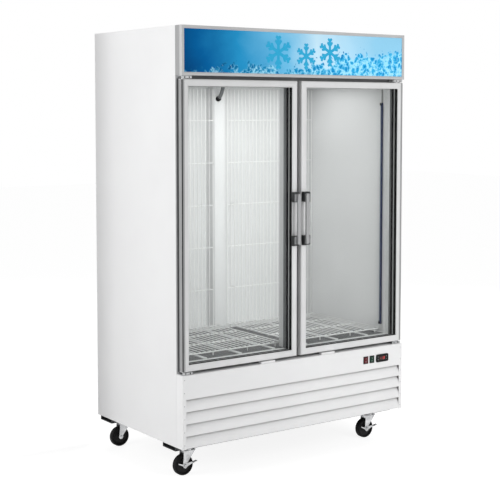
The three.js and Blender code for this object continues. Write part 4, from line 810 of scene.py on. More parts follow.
for level, edge, up in (("upper", door_high.z, 1), ("lower", door_low.z, -1)):
    node = "right_" + level + "_hinge"
    low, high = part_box(node)
    low = Vector((low.x, low.y, low.z if up < 0 else edge + 0.0003))
    high = Vector((high.x, high.y, high.z if up > 0 else edge - 0.0003))
    hinge = draw_hinge(node + "_channel", low, high, edge, up)
    head = draw_turned(node + "_screws", (low.x + 0.013, low.y, (low.z + high.z) / 2), Y, [
        (0, -0.0014), (0.0024, -0.0012), (0.0036, -0.0004), (0.0038, 0.0004), (0, 0.0004)], 18)
    screws = spread(node + "_screws", head, [(0, 0, 0), (SCREW_PITCH, 0, 0)])
    # The upper hinge takes the lighter zinc copy, painted light; the lower one takes the plain
    # zinc.
    dress_pair(hinge, zinc_painted_light if up > 0 else zinc, "zinc", node)
    dress_pair(screws, dark_screw, "dark_steel")

# ----
# Header: an aluminium frame with mitred corners on a grey sheet housing. A lamp behind it
# lights the picture panel.

HEADER_BORDER = 0.015
HEADER_LIP = 0.0035
HEADER_REBATE = 0.009

low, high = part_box("header_frame")
border, depth = HEADER_BORDER, high.y - low.y
header_bars = mitred_bars("header_bars", low, high, [
    (0, 0.0012), (0.0004, 0.0004), (0.0012, 0), (border - 0.0045, 0), (border - 0.0041, 0.0006),
    (border - 0.0034, 0.0006), (border - 0.003, 0), (border - 0.001, 0), (border, 0.001),
    (border, HEADER_LIP), (HEADER_REBATE, HEADER_LIP), (HEADER_REBATE, depth), (0, depth),
    (0, depth - 0.005), (0.0006, depth - 0.0055), (0.0006, depth - 0.0065), (0, depth - 0.007)])
header_silver = surface(
    "anodised header silver", (0.50, 0.503, 0.508), (0.56, 0.563, 0.568), (0.38, 0.48),
    metal=0.3, cloud=5.0, grain=1500.0, relief=0.03)
dress(round_edges(header_bars, FINE, 2), header_silver, "anodised", "header_frame")

low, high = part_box("header_housing")
tray = set_block("header_tray", low, high)
pick_faces(tray, lambda centre, normal: normal.y < -0.9)
bpy.ops.mesh.inset(thickness=SHEET)
extrude((0, high.y - low.y - SHEET, 0))
set_mode("OBJECT")
header_grey = surface(
    "grey header sheet", (0.32, 0.323, 0.328), (0.36, 0.363, 0.368), (0.42, 0.52), metal=0.2,
    grain=420.0, relief=0.05)
dress(round_edges(tray, 0.0005, 2), header_grey, "anodised", "header_housing")


def ice_picture(low, high):
    """Deep blue on the left fading to pale blue, over a bank of clear broken ice."""
    material, tree, shader = new_paint("ice picture", {
        "Roughness": 0.5, "Specular IOR Level": 0.05, "Emission Strength": 0.3})
    place = add_node(tree, "TexCoord", {}).outputs["Object"]
    parts = add_node(tree, "SeparateXYZ", {0: place}).outputs

    def noise(scale, detail, distortion=0.0, output="Fac"):
        return add_node(tree, "TexNoise", {
            "Scale": scale, "Detail": detail, "Distortion": distortion,
            "Vector": place}).outputs[output]

    def sum_of(first, second, share):
        return calculated(tree, "MULTIPLY_ADD", second, share, first)

    def mixed(share, first, second):
        return add_node(tree, "Mix", {"Factor": share, "A": first, "B": second},
                        data_type="RGBA").outputs["Result"]

    def over(value, start, end):
        return add_node(tree, "MapRange", {
            "From Min": start, "From Max": end, "Value": value}).outputs[0]

    across = over(parts["X"], low.x, high.x)
    up = over(parts["Z"], low.z, high.z)
    sky_place = sum_of(sum_of(across, noise(5.0, 4, 0.4), 0.18), up, 0.05)
    sky = colour_ramp(tree, sky_place, [
        (0.07, (0.0003, 0.040, 0.145)), (0.19, (0.0008, 0.095, 0.28)), (0.36, (0.016, 0.24, 0.48)),
        (0.54, (0.13, 0.43, 0.66)), (0.72, (0.46, 0.66, 0.78)), (0.84, (0.36, 0.60, 0.76)),
        (1.0, (0.24, 0.52, 0.71))])
    bent = add_node(tree, "VectorMath", {
        0: noise(26.0, 3, output="Color"), 1: (0.05, 0.05, 0.05), 2: place},
        operation="MULTIPLY_ADD").outputs[0]

    def lumps(feature):
        return add_node(tree, "TexVoronoi", {"Scale": 40.0, "Vector": bent},
                        feature=feature).outputs["Distance"]

    slope = calculated(tree, "MULTIPLY", across, across)
    heap = sum_of(sum_of(up, noise(7.0, 4, 0.8), -0.7), slope, -0.58)
    bank = over(sum_of(heap, lumps("F1"), 0.30), -0.07, -0.13)
    facets = over(sum_of(lumps("F1"), noise(60.0, 3, 1.2), 1.1), 0.50, 1.20)
    deep_ice = colour_ramp(tree, facets, [
        (0.0, (0.001, 0.05, 0.16)), (0.4, (0.006, 0.13, 0.29)), (0.7, (0.022, 0.21, 0.38)),
        (1.0, (0.20, 0.46, 0.62))])
    pale_ice = colour_ramp(tree, facets, [
        (0.0, (0.002, 0.14, 0.40)), (0.4, (0.012, 0.28, 0.58)), (0.7, (0.045, 0.40, 0.68)),
        (1.0, (0.26, 0.62, 0.80))])
    ice = mixed(over(across, 0.15, 0.75), deep_ice, pale_ice)
    rims = colour_ramp(tree, over(lumps("DISTANCE_TO_EDGE"), 0.10, 0.0), [
        (0.35, (0, 0, 0)), (1.0, (0.24, 0.24, 0.24))])
    picture = mixed(bank, sky, mixed(rims, ice, (0.62, 0.86, 0.93, 1)))
    connect(tree, shader, {"Base Color": picture, "Emission Color": picture})
    return material


low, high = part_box("header_panel")
panel_front, panel_middle = low.y, (low.z + high.z) / 2
panel = set_block("picture_panel", low, high, 0.0004)
dress(panel, ice_picture(low, high), "lit_panel", "header_panel")

FLAKES = ((-0.130, 0.004, 0.080), (0.038, -0.010, 0.062), (0.185, 0.012, 0.070))
FLAKE_SHEET = 0.0006


def snowflake(name, x, z, reach):
    """Six ribbed arms cut from film, round a small hexagon."""
    arm = [(-0.10, 0.12), (-0.10, 0.42), (-0.27, 0.64), (-0.17, 0.78), (-0.10, 0.67),
           (-0.10, 0.76), (-0.22, 0.89), (-0.12, 1.0), (0, 0.94)]
    arm += [(-u, v) for u, v in reversed(arm[:-1])]
    middle = [(0.2 * math.sin(math.radians(60 * i)), 0.2 * math.cos(math.radians(60 * i)))
              for i in range(6)]
    film_y = panel_front - 0.0002
    place = Matrix.Translation((x, 0, z))
    one, hub = [
        draw_prism(name, Y, [(u * reach, v * reach) for u, v in outline + outline[:1]],
                   film_y, film_y - sheet)
        for outline, sheet in ((arm, FLAKE_SHEET), (middle, FLAKE_SHEET + 0.0001))]
    hub.data.transform(place)
    arms = [copy_moved(one, name, place @ Matrix.Rotation(number * math.pi / 3, 4, "Y"))
            for number in range(6)]
    bpy.data.objects.remove(one)
    return join_all(name, [hub, *arms])


def glowing(name, dark, light, strength):
    material = surface(name, dark, light, (0.3, 0.4), cloud=90.0, relief=0.02)
    tree = material.node_tree
    shader = tree.nodes["Principled BSDF"]
    colour = shader.inputs["Base Color"].links[0].from_socket
    connect(tree, shader, {"Emission Color": colour, "Emission Strength": strength})
    return material


flakes = join_all("picture_snowflakes", [
    snowflake("flake", x, panel_middle + up, reach) for x, up, reach in FLAKES])
dress(flakes, glowing("cyan film", (0.002, 0.28, 0.50), (0.004, 0.32, 0.54), 0.3), "lit_panel")
refinish("header_lamp", surface(
    "lamp diffuser", (0.86, 0.88, 0.90), (0.92, 0.93, 0.94), (0.3, 0.4), cloud=20.0))

# ----
# Base front: a painted steel sheet folded back at both ends, with a window closed by four rolled
# louvres. Small screws run down its end strips, the controls have square cut-outs, and a pad for
# each door stands on its top fold.

LOUVRES = 4
LOUVRE_PITCH = 0.057
LOUVRE_BOTTOM = 0.004
LOUVRE_END = 0.019
LOUVRE_TUCK = 0.002
LOUVRE_GAP = 0.0002
LOUVRE_DEPTH = 0.030
LOUVRE_LIP = 0.006
LOUVRE_OVERLAP = 0.004
END_SCREWS = 6
STOP_PAD = (0.1435, 0.2275)

base_low, base_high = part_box("louvre_panel")
front, back, half = base_low.y, base_high.y, base_high.x
base_sheet = draw_prism("base_sheet", Z, [
    (-half, front), (half, front), (half, back), (half - SHEET, back),
    (half - SHEET, front + SHEET), (SHEET - half, front + SHEET), (SHEET - half, back),
    (-half, back), (-half, front)], base_low.z, base_high.z)
window_half = half - LOUVRE_END
first_lip = base_low.z + LOUVRE_BOTTOM
window_top = first_lip + LOUVRES * LOUVRE_PITCH
cut_away(base_sheet, set_block(
    "window", (-window_half, front - CUT, base_low.z - CUT),
    (window_half, front + CUT, window_top)))
for cover, inset in (("red_switch_bezel", 0.0022), ("green_switch_bezel", 0.0022),
                     ("controller", 0.0062)):
    low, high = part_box(cover)
    cut_away(base_sheet, set_block(
        "cut_out", (low.x + inset, front - CUT, low.z + inset),
        (high.x - inset, front + CUT, high.z - inset)))
round_edges(base_sheet, 0.0006)
slat_half = window_half + LOUVRE_TUCK
ledge = set_block(
    "base_ledge", (SHEET - half, front + SHEET, base_high.z - SHEET),
    (half - SHEET, back, base_high.z - 0.0001), 0.0004)
window_fold = set_block(
    "window_fold", (-slat_half, front + SHEET, window_top),
    (slat_half, front + LOUVRE_LIP, window_top + SHEET), 0.0004)


def rolled(depth):
    """The bulging face of a slat from its straight lip up to its tucked top edge."""
    start = first_lip + LOUVRE_LIP
    bend = first_lip + 0.7 * LOUVRE_PITCH
    end = first_lip + LOUVRE_PITCH + LOUVRE_OVERLAP
    steps = [i / 12 for i in range(13)]
    return [(front + depth + t * t * LOUVRE_DEPTH,
             (1 - t) ** 2 * start + 2 * (1 - t) * t * bend + t * t * end) for t in steps]


slats = draw_prism("louvres", X, [
    (front, first_lip), *rolled(0), *reversed(rolled(SHEET)),
    (front + SHEET, first_lip + SHEET), (front + LOUVRE_LIP, first_lip + SHEET),
    (front + LOUVRE_LIP, first_lip), (front, first_lip)], -slat_half, slat_half)
slats.data.transform(Matrix.Translation((0, LOUVRE_GAP, 0)))
in_a_row(round_edges(slats, 0.0004, 2), LOUVRES, (0, 0, LOUVRE_PITCH))
dress(join_all("base_front_sheet", [base_sheet, ledge, window_fold, slats]), white_coat,
      "white_paint", "louvre_panel")

end_screw = draw_turned("end_screw", (0, front, base_low.z + 0.02), Y, [
    (0, -0.0006), (0.0016, -0.0005), (0.0026, 0.0001), (0.0026, 0.0006), (0, 0.0006)], 14)
screw_step = (base_high.z - base_low.z - 0.04) / (END_SCREWS - 1)
end_screws = spread("end_screws", end_screw, [
    (side * (half - LOUVRE_END / 2), 0, number * screw_step)
    for side in (-1, 1) for number in range(END_SCREWS)])
dress(end_screws, zinc, "zinc")

stop_pad = set_block(
    "right_stop_pad", (STOP_PAD[0], front + 0.0066, base_high.z + 0.0001),
    (STOP_PAD[1], front + 0.030, door_low.z - 0.0045), 0.001, 3)
dress_pair(stop_pad, white_coat, "white_paint")

# ----
# Switches: a black moulded frame with a deep well, in which a lit rocker tips on its pivot. The
# rockers carry the usual bar and ring.

SWITCH_RIM = 0.0035
SWITCH_PROUD = 0.003
RIM_THICKNESS = 0.0027
ROCKER_TILT = math.radians(7)
ROCKER_RISE = 0.0026
ROCKER_CLEARANCE = 0.0007
ROCKER_DEPTH = 0.01
MARK_DEPTH = (-0.0003, 0.0012)
RING = (0.0023, 0.0031)
RING_Z = -0.0087

black_moulding = surface(
    "black moulding", (0.005, 0.005, 0.0055), (0.009, 0.009, 0.0095), (0.5, 0.65), cloud=60.0,
    grain=2200.0, relief=0.1, shine=0.2)
mark_white = surface(
    "white mark", (0.70, 0.70, 0.69), (0.80, 0.80, 0.79), (0.4, 0.5), cloud=200.0)

for colour, dark, light in (
        ("red", (0.085, 0.006, 0.010), (0.13, 0.010, 0.015)),
        ("green", (0.002, 0.026, 0.014), (0.005, 0.046, 0.025))):
    low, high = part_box(colour + "_switch_bezel")
    rim = set_block(
        colour + "_switch_frame", low, (high.x, low.y + RIM_THICKNESS, high.z), 0.0011, 3)
    barrel = set_block(
        "barrel", (low.x + 0.002, low.y + RIM_THICKNESS - 0.0004, low.z + 0.002),
        (high.x - 0.002, high.y, high.z - 0.002))
    for part in (rim, barrel):
        cut_away(part, set_block(
            "well", (low.x + SWITCH_RIM, low.y - CUT, low.z + SWITCH_RIM),
            (high.x - SWITCH_RIM, high.y - SHEET, high.z - SWITCH_RIM)))
    dress(join_all(rim.name, [rim, barrel]), black_moulding, "black_plastic",
          colour + "_switch_bezel")

    tilted = (Matrix.Translation(((low.x + high.x) / 2, front, (low.z + high.z) / 2))
              @ Matrix.Rotation(ROCKER_TILT, 4, "X"))
    half_up = (high.z - low.z) / 2 - SWITCH_RIM - ROCKER_CLEARANCE
    half_across = (high.x - low.x) / 2 - SWITCH_RIM - ROCKER_CLEARANCE
    lowest = (-SWITCH_PROUD - ROCKER_RISE, -half_up)
    rocker = draw_prism(colour + "_rocker_key", X, [
        lowest,
        *[(-SWITCH_PROUD - ROCKER_RISE * (t / 4) ** 2, half_up * t / 4) for t in range(-3, 5)],
        (0, half_up), (ROCKER_DEPTH, half_up / 2), (ROCKER_DEPTH, -half_up / 2), (0, -half_up),
        lowest], -half_across, half_across)
    round_edges(rocker, 0.0006).data.transform(tilted)
    lens = surface(
        colour + " rocker", dark, light, (0.3, 0.42), cloud=90.0, relief=0.02, shine=0.25)
    dress(rocker, lens, colour + "_lens", colour + "_rocker", body=colour + "_rocker_switch")

    near, far = [depth - SWITCH_PROUD - 0.35 * ROCKER_RISE for depth in MARK_DEPTH]
    bar = set_block("bar", (-0.0006, near, 0.0062), (0.0006, far, 0.0112), 0.0002)
    ring = draw_turned("ring", (0, 0, RING_Z), Y, [
        (RING[0], near), (RING[1], near), (RING[1], far), (RING[0], far), (RING[0], near)], 20)
    marks = join_all(colour + "_rocker_marks", [bar, ring])
    marks.data.transform(tilted)
    dress(marks, mark_white, "white_paint", body=colour + "_rocker_switch")

# ----
# Controller: a black panel instrument with a rounded front. A dark red window shows the
# temperature in lit bars, between four rubber keys.

CONTROLLER_PROUD = 0.004
CONTROLLER_CORNER = 0.008
CONTROLLER_BODY = (0.035, 0.014)
DISPLAY_HALF = (0.0205, 0.0098)
DIGIT_HEIGHT = 0.0125
DIGIT_WIDTH = 0.0068
DIGIT_SPACING = 0.0115
DIGIT_BAR = 0.0016
DIGIT_SLANT = 0.08
KEY_RADIUS = 0.0034
KEY_SPOTS = ((-0.0285, 0.0068), (-0.0285, -0.0068), (0.0285, 0.0068), (0.0285, -0.0068))
BARS_OF = {"-": "g", "1": "bc", "8": "abcdefg"}

low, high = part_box("controller")
middle_x, middle_z = (low.x + high.x) / 2, (low.z + high.z) / 2
outline = []
for x, z, start in ((high.x, high.z, 0), (low.x, high.z, 90), (low.x, low.z, 180),
                    (high.x, low.z, 270)):
    centre = (x - math.copysign(CONTROLLER_CORNER, x - middle_x),
              z - math.copysign(CONTROLLER_CORNER, z - middle_z))
    outline += arc(centre, CONTROLLER_CORNER, start, start + 90, 6)
case = draw_prism("controller_front", Y, outline + outline[:1], low.y,
                  low.y + CONTROLLER_PROUD - 0.0003)
pick_faces(case, lambda centre, normal: normal.y < -0.9)
bpy.ops.mesh.inset(thickness=0.0026)
extrude((0, 0.0009, 0))
set_mode("OBJECT")
round_edges(case, 0.0006)


def centred_block(name, half_size, near, far, rounding, segments=2):
    """A block round the middle of the controller."""
    return set_block(name, (middle_x - half_size[0], near, middle_z - half_size[1]),
                     (middle_x + half_size[0], far, middle_z + half_size[1]), rounding, segments)


case_body = centred_block(
    "controller_body", CONTROLLER_BODY, low.y + CONTROLLER_PROUD - 0.0008, high.y, 0.001, 3)
dress(join_all("controller_case", [case, case_body]), black_moulding, "black_plastic",
      "controller")

window_y = low.y + 0.0009
display = centred_block(
    "controller_window", DISPLAY_HALF, window_y - 0.0004, window_y + 0.0006, FINE)
dark_window = surface(
    "dark red window", (0.022, 0.002, 0.002), (0.035, 0.004, 0.004), (0.1, 0.18), cloud=150.0,
    relief=0.01)
dress(display, dark_window, "red_lens")


def lit_bar(x, z, upright, length):
    """A flat bar with pointed ends."""
    long, short = length / 2 - 0.0002, DIGIT_BAR / 2
    outline = [(-long, 0), (short - long, short), (long - short, short), (long, 0),
               (long - short, -short), (short - long, -short), (-long, 0)]
    if upright:
        outline = [(v, u) for u, v in outline]
    outline = [(x + u + DIGIT_SLANT * (z + v - middle_z), z + v) for u, v in outline]
    return draw_prism("lit_bar", Y, outline, window_y - 0.0004, window_y - 0.0006)


bars = []
wide, tall = DIGIT_WIDTH / 2, DIGIT_HEIGHT / 2
spots = {
    "a": (0, tall, False), "g": (0, 0, False), "d": (0, -tall, False),
    "b": (wide, tall / 2, True), "c": (wide, -tall / 2, True),
    "f": (-wide, tall / 2, True), "e": (-wide, -tall / 2, True)}
for number, sign in enumerate("-18"):
    place = middle_x + (number - 1) * DIGIT_SPACING
    for letter in BARS_OF[sign]:
        x, z, upright = spots[letter]
        bars.append(lit_bar(place + x, middle_z + z, upright, tall if upright else DIGIT_WIDTH))
dress(join_all("controller_digits", bars), glowing(
    "lit red", (0.55, 0.02, 0.02), (0.65, 0.04, 0.03), 0.5), "red_lens")

key_top = window_y - 0.0008
key_places = [(across, 0, up) for across, up in KEY_SPOTS]
key = draw_turned("key", (middle_x, key_top, middle_z), Y, [
    (0, 0), (KEY_RADIUS * 0.8, 0), (KEY_RADIUS, 0.0005), (KEY_RADIUS, 0.0012), (0, 0.0012)], 20)
dark_grey_rubber = surface(
    "dark grey keys", (0.045, 0.047, 0.05), (0.07, 0.072, 0.075), (0.5, 0.62), cloud=120.0)
dress(spread("controller_keys", key, key_places), dark_grey_rubber, "black_plastic")
key_mark = centred_block(
    "mark", (0.0015, 0.00035), key_top - 0.0002, key_top + 0.0002, 0.0001, 1)
dress(spread("key_marks", key_mark, key_places), mark_white, "white_paint")

# ----
# Base frame: a folded steel tray welded on two cross channels, black-coated. Each caster plate
# is held by four hexagon bolts.

CASTER_X = 0.5635
FRONT_CASTER_Y = -0.2565
REAR_CASTER_Y = 0.3505
PLATE_UNDERSIDE = 0.134
BOLT_SPACING = (0.036, 0.026)

refinish("base_frame", surface(
    "black chassis coat", (0.022, 0.023, 0.025), (0.042, 0.043, 0.046), (0.42, 0.58), metal=0.2,
    cloud=12.0, grain=700.0, relief=0.12))
bolt = draw_rod("bolt", (0, 0, -0.0035), (0, 0, 0.0002), 0.0052, 6, 0.12)
caster_bolts = spread("caster_bolts", bolt, [
    (x + across * BOLT_SPACING[1], y + along * BOLT_SPACING[0], PLATE_UNDERSIDE)
    for x in (-CASTER_X, CASTER_X) for y in (FRONT_CASTER_Y, REAR_CASTER_Y)
    for along in (-1, 1) for across in (-1, 1)])
dress(caster_bolts, zinc, "zinc")

# ----
# Casters: a pressed fork turns on a ball race under its plate and holds a rubber-tyred wheel on
# a bolt. The front pair has a foot brake, a see-saw plate on the same bolt.

TRAIL = 0.028
AXLE_Z = 0.050
WHEEL_RADIUS = 0.050
TREAD = 0.015
HUB = 0.0172
HUB_BOSS = 0.012
BORE = 0.0054
CROWN_TOP = 0.1195
CROWN_HALF = 0.032
FORK_INSIDE = 0.0175
FORK_SHEET = 0.0035
FORK_OUTSIDE = FORK_INSIDE + FORK_SHEET
RACE_RADIUS = 0.027
RACE_TOP = 0.1337
BRAKE_SHEET = 0.003
BRAKE_WIDTH = 0.015

tyre_rubber = surface(
    "black tyre rubber", (0.004, 0.004, 0.0043), (0.008, 0.008, 0.0085), (0.6, 0.75), cloud=40.0,
    grain=600.0, relief=0.15, shine=0.15)
wheel_core = surface(
    "dark wheel core", (0.007, 0.007, 0.0075), (0.014, 0.014, 0.015), (0.5, 0.62), cloud=60.0,
    shine=0.2)
fork_zinc = surface(
    "fork zinc", (0.42, 0.425, 0.435), (0.72, 0.725, 0.735), (0.2, 0.34), metal=0.95, cloud=55.0,
    grain=1200.0, relief=0.1)


def fork_leg(near, far):
    """A leg plate that narrows to a round boss, drawn in the plane Y = near."""
    outline = [(-CROWN_HALF, CROWN_TOP), (CROWN_HALF, CROWN_TOP),
               *arc((-TRAIL, AXLE_Z), HUB_BOSS, 30, -210, 14)]
    return round_edges(draw_prism("leg", Y, outline + outline[:1], near, far), 0.0008)


def on_axle(name, near, far, radius, sides, rounding):
    return draw_rod(
        name, (-TRAIL, near, AXLE_Z), (-TRAIL, far, AXLE_Z), radius, sides, rounding)


def draw_fork(braked):
    crown = set_block(
        "crown", (-CROWN_HALF, -FORK_OUTSIDE, CROWN_TOP - FORK_SHEET),
        (CROWN_HALF, FORK_OUTSIDE, CROWN_TOP), 0.001, 3)
    neck, rim = RACE_RADIUS - 0.006, RACE_RADIUS - 0.0012
    race = draw_turned("race", (0, 0, CROWN_TOP), Z, [
        (0, -0.001), (neck, -0.001), (neck, 0.003), (RACE_RADIUS - 0.001, 0.0045),
        (RACE_RADIUS, 0.006), (RACE_RADIUS, 0.0078), (rim, 0.0084), (rim, 0.0094),
        (RACE_RADIUS, 0.010), (RACE_RADIUS, RACE_TOP - CROWN_TOP - 0.002),
        (RACE_RADIUS - 0.002, RACE_TOP - CROWN_TOP), (0, RACE_TOP - CROWN_TOP)], 32)
    kingpin = draw_turned("kingpin", (0, 0, CROWN_TOP - FORK_SHEET), Z, [
        (0, -0.004), (0.005, -0.0036), (0.0075, -0.001), (0.0075, 0.001), (0, 0.001)], 20)
    far_side = FORK_OUTSIDE - 0.0005
    near_side = FORK_OUTSIDE + BRAKE_SHEET + 0.0006 if braked else far_side
    return join_all("fork", [
        crown, race, kingpin,
        on_axle("axle", -near_side - 0.0055, far_side + 0.0042, 0.005, 20, 0.2),
        fork_leg(-FORK_OUTSIDE, -FORK_INSIDE), fork_leg(FORK_INSIDE, FORK_OUTSIDE),
        on_axle("nut", -near_side - 0.004, -near_side, 0.008, 6, 0.1),
        on_axle("nut", far_side, far_side + 0.0035, 0.008, 6, 0.1)])


def wheel_ring(name, half_profile, steps):
    """A ring round the axle, from the near half of its profile."""
    profile = half_profile + [(r, -y) for r, y in reversed(half_profile)]
    return draw_turned(name, (-TRAIL, 0, AXLE_Z), Y, profile + profile[:1], steps)


def draw_tyre():
    return wheel_ring("tyre", [
        (0.0370, -0.0075), (0.0402, -TREAD + 0.0008), (0.0412, -TREAD), (0.0460, -TREAD),
        (0.0468, -TREAD + 0.0004), (0.0490, -0.0122), (0.0497, -0.0104),
        (WHEEL_RADIUS, -0.0080)], 56)


def draw_core():
    return wheel_ring("core", [
        (BORE, -HUB), (0.0105, -HUB), (HUB_BOSS - 0.0005, -HUB + 0.0012), (HUB_BOSS, -0.0075),
        (0.0140, -0.0062), (0.0335, -0.0062), (0.0360, -0.0078), (0.0373, -0.0084)], 48)


def draw_brake():
    near = -FORK_OUTSIDE - 0.0003
    sheets = []
    for name, outline, start, depth in (
            ("brake", [(-38, 15), (-36, 9), (-25, 4), (-14, -2), (-8, -10), (0, -15), (7, -12),
                       (12, -6), (30, 2), (60, 9), (59, 16), (22, 11), (0, 12), (-15, 7),
                       (-38, 15)], BRAKE_SHEET, BRAKE_SHEET),
            ("pedal", [(38, 10), (60, 15), (59.5, 18), (37.5, 13), (38, 10)], BRAKE_WIDTH,
             BRAKE_WIDTH - 0.001)):
        places = [(-TRAIL + u / 1000, AXLE_Z + v / 1000) for u, v in outline]
        sheets.append(draw_prism(name, Y, places, near - start, near - start + depth))
    plate, pedal = sheets
    cut_away(plate, on_axle("bore", near - CUT, near + CUT, BORE, 24, 0))
    round_edges(plate, 0.0006, 2)
    round_edges(pedal, 0.0007)
    rib = set_block(
        "rib", (-TRAIL + 0.0432, near - BRAKE_WIDTH + 0.002, AXLE_Z + 0.0145),
        (-TRAIL + 0.0448, near - 0.004, AXLE_Z + 0.0158), 0.0004)
    return join_all("brake", [plate, pedal, in_a_row(rib, 4, (0.0042, 0, 0.0010))])


for name, x, y, braked in (
        ("front_left", -CASTER_X, FRONT_CASTER_Y, True),
        ("front_right", CASTER_X, FRONT_CASTER_Y, True),
        ("rear_left", -CASTER_X, REAR_CASTER_Y, False),
        ("rear_right", CASTER_X, REAR_CASTER_Y, False)):
    parts = [(draw_fork(braked), "_caster_fork", fork_zinc, "zinc", "_fork", "_swivel"),
             (draw_tyre(), "_tyre", tyre_rubber, "tyre", "_wheel", "_roller"),
             (draw_core(), "_wheel_core", wheel_core, "tyre", "_wheel", "_roller")]
    if braked:
        parts.append((draw_brake(), "_foot_brake", fork_zinc, "zinc", "_brake_lever", "_brake"))
    for part, kind, material, slot, node, body in parts:
        named(part, name + kind).data.transform(Matrix.Translation((x, y, 0)))
        dress(part, material, slot, name + node, body=name + body)

# ----
# Lamps of the storage room: a slim tube on each side wall, with a dark blue screen towards the
# doors and a cable up to the ceiling, and a broad one behind the mullion. Plain lights light them.

LAMP_CAP = 0.014
LAMP_SCREEN = 0.004
LAMP_WIDER = 0.004
LAMP_POWER = 0.15
MULLION_LAMP_POWER = 0.4
ROOM_FILL = 2.2
CEILING_FILL = 2.6


def lamp_cover(name, outline, start, end):
    return round_edges(draw_prism(name, Z, outline + outline[:1], start, end), 0.0006, 2)


def lamp_caps(name, outline, low, high):
    return join_all(name, [lamp_cover("cap", outline, low.z, low.z + LAMP_CAP),
                           lamp_cover("cap", outline, high.z - LAMP_CAP, high.z)])


low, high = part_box("right_wall_lamp")
low.x -= LAMP_WIDER
screen_y = low.y + LAMP_SCREEN
lamp_middle = (low.z + high.z) / 2
cable_x, cable_y = high.x - 0.003, low.y + 0.006
lamp_grey = surface(
    "blue-grey lamp cover", (0.26, 0.30, 0.36), (0.33, 0.37, 0.43), (0.35, 0.45), cloud=20.0)
lamp_blue = surface(
    "dark blue housing", (0.010, 0.018, 0.06), (0.018, 0.03, 0.085), (0.4, 0.5), cloud=20.0)
dress_pair(lamp_cover("right_lamp_housing", [
    (high.x, low.y), (high.x, screen_y), (low.x, screen_y), (low.x, low.y + 0.003),
    (low.x + 0.003, low.y)], low.z + 0.001, high.z - 0.001), lamp_blue, "dark_plastic")
dress_pair(lamp_cover("right_lamp_lens", [
    (high.x - 0.001, screen_y), (high.x - 0.001, high.y), (low.x + 0.004, high.y),
    (low.x + 0.0008, screen_y + 0.0015), (low.x + 0.0008, screen_y)],
    low.z + LAMP_CAP, high.z - LAMP_CAP), lamp_grey, "lamp", "right_wall_lamp")
dress_pair(lamp_caps("right_lamp_caps", [
    (high.x, low.y + 0.0004), (high.x, high.y), (low.x + 0.0005, high.y),
    (low.x + 0.0005, low.y + 0.0004)], low, high), black_moulding, "black_plastic")
dress_pair(draw_rod(
    "right_lamp_cable", (cable_x, cable_y, high.z - 0.001), (cable_x, cable_y, mouth_top + 0.01),
    0.0018, 10, 0), black_moulding, "black_plastic")
wall_tube = (low.x - 0.004, high.y + 0.004)

low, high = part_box("mullion_lamp")
outline = [(low.x, low.y), (high.x, low.y)] + [
    (x, min(max(y, low.y), high.y)) for x, y in arc((0, high.y - 0.0160), 0.0158, 8, 172, 14)]
dress(lamp_cover("mullion_lamp_cover", outline, low.z + LAMP_CAP, high.z - LAMP_CAP), glowing(
    "lit cover", (0.86, 0.88, 0.90), (0.93, 0.94, 0.95), 1.0), "lamp", "mullion_lamp")
dress(lamp_caps("mullion_lamp_caps", outline, low, high), black_moulding, "black_plastic")

for name, place, aim, size, power in (
        ("right wall tube", (*wall_tube, lamp_middle), (-1, 1, 0), (0.02, 1.1), LAMP_POWER),
        ("left wall tube", (-wall_tube[0], wall_tube[1], lamp_middle), (1, 1, 0), (0.02, 1.1),
         LAMP_POWER),
        ("mullion tube", (0, high.y + 0.006, lamp_middle), (0, 1, 0), (0.02, 1.1),
         MULLION_LAMP_POWER),
        ("room fill", (0, -0.25, 1.15), (0, 1.25, 0), (1.1, 1.1), ROOM_FILL),
        ("ceiling fill", (0, 0, 1.84), (0, 0.02, -1.24), (1.1, 0.4), CEILING_FILL)):
    lamp = soft_lamp(name, place, Vector(place) + Vector(aim), size, power)
    lamp.visible_camera = lamp.visible_glossy = False

# ----
# Channel and drain hose: a folded white cover hides the pipes on the back wall. A grey hose
# leaves the cooling unit and curls down into its face through a dark boot.

CHANNEL_FOLD = 0.006
CHANNEL_CORNER = 0.0018
HOSE_RADIUS = 0.0105
HOSE_END_X = -0.012

low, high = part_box("channel_cover")
half, fold = high.x, low.y + CHANNEL_FOLD
corner = low.y + CHANNEL_CORNER
outer = [(-half, high.y), (-half, fold), (-half + CHANNEL_CORNER, corner),
         (-half + CHANNEL_FOLD, low.y), (half - CHANNEL_FOLD, low.y),
         (half - CHANNEL_CORNER, corner), (half, fold), (half, high.y)]
inner = [(x * (half - SHEET) / half, max(y, low.y + SHEET)) for x, y in reversed(outer)]
channel = draw_prism("channel_sheet", Z, outer + inner + outer[:1], low.z, high.z)
dress(round_edges(channel, 0.0005, 2), liner_white, "liner", "channel_cover")

hose_end, hose_top = low.y - 0.0004, high.z - 0.0006
curve = bpy.data.curves.new("hose", "CURVE")
curve.dimensions = "3D"
curve.bevel_depth = HOSE_RADIUS - 0.0006
curve.bevel_resolution = 5
curve.use_fill_caps = True
spline = curve.splines.new("BEZIER")
route = [(-0.008, 0.0470, 0.001), (-0.0085, 0.0400, 0.022), (-0.009, 0.0290, 0.0450),
         (-0.011, 0.0140, 0.0650), (HOSE_END_X, 0.0020, 0.0730)]
spline.bezier_points.add(len(route) - 1)
for point, (x, forward, down) in zip(spline.bezier_points, route):
    point.co = (x, hose_end - forward, hose_top - down)
    point.handle_left_type = point.handle_right_type = "AUTO"
hose = bpy.data.objects.new("drain_hose_tube", curve)
bpy.context.scene.collection.objects.link(hose)
only(hose)
bpy.ops.object.convert(target="MESH")
hose = shade_smooth(bpy.context.object)
hose_grey = surface(
    "grey hose", (0.10, 0.105, 0.11), (0.16, 0.165, 0.17), (0.4, 0.55), cloud=60.0, grain=900.0,
    relief=0.1)
dress(hose, hose_grey, "seal", "drain_hose")
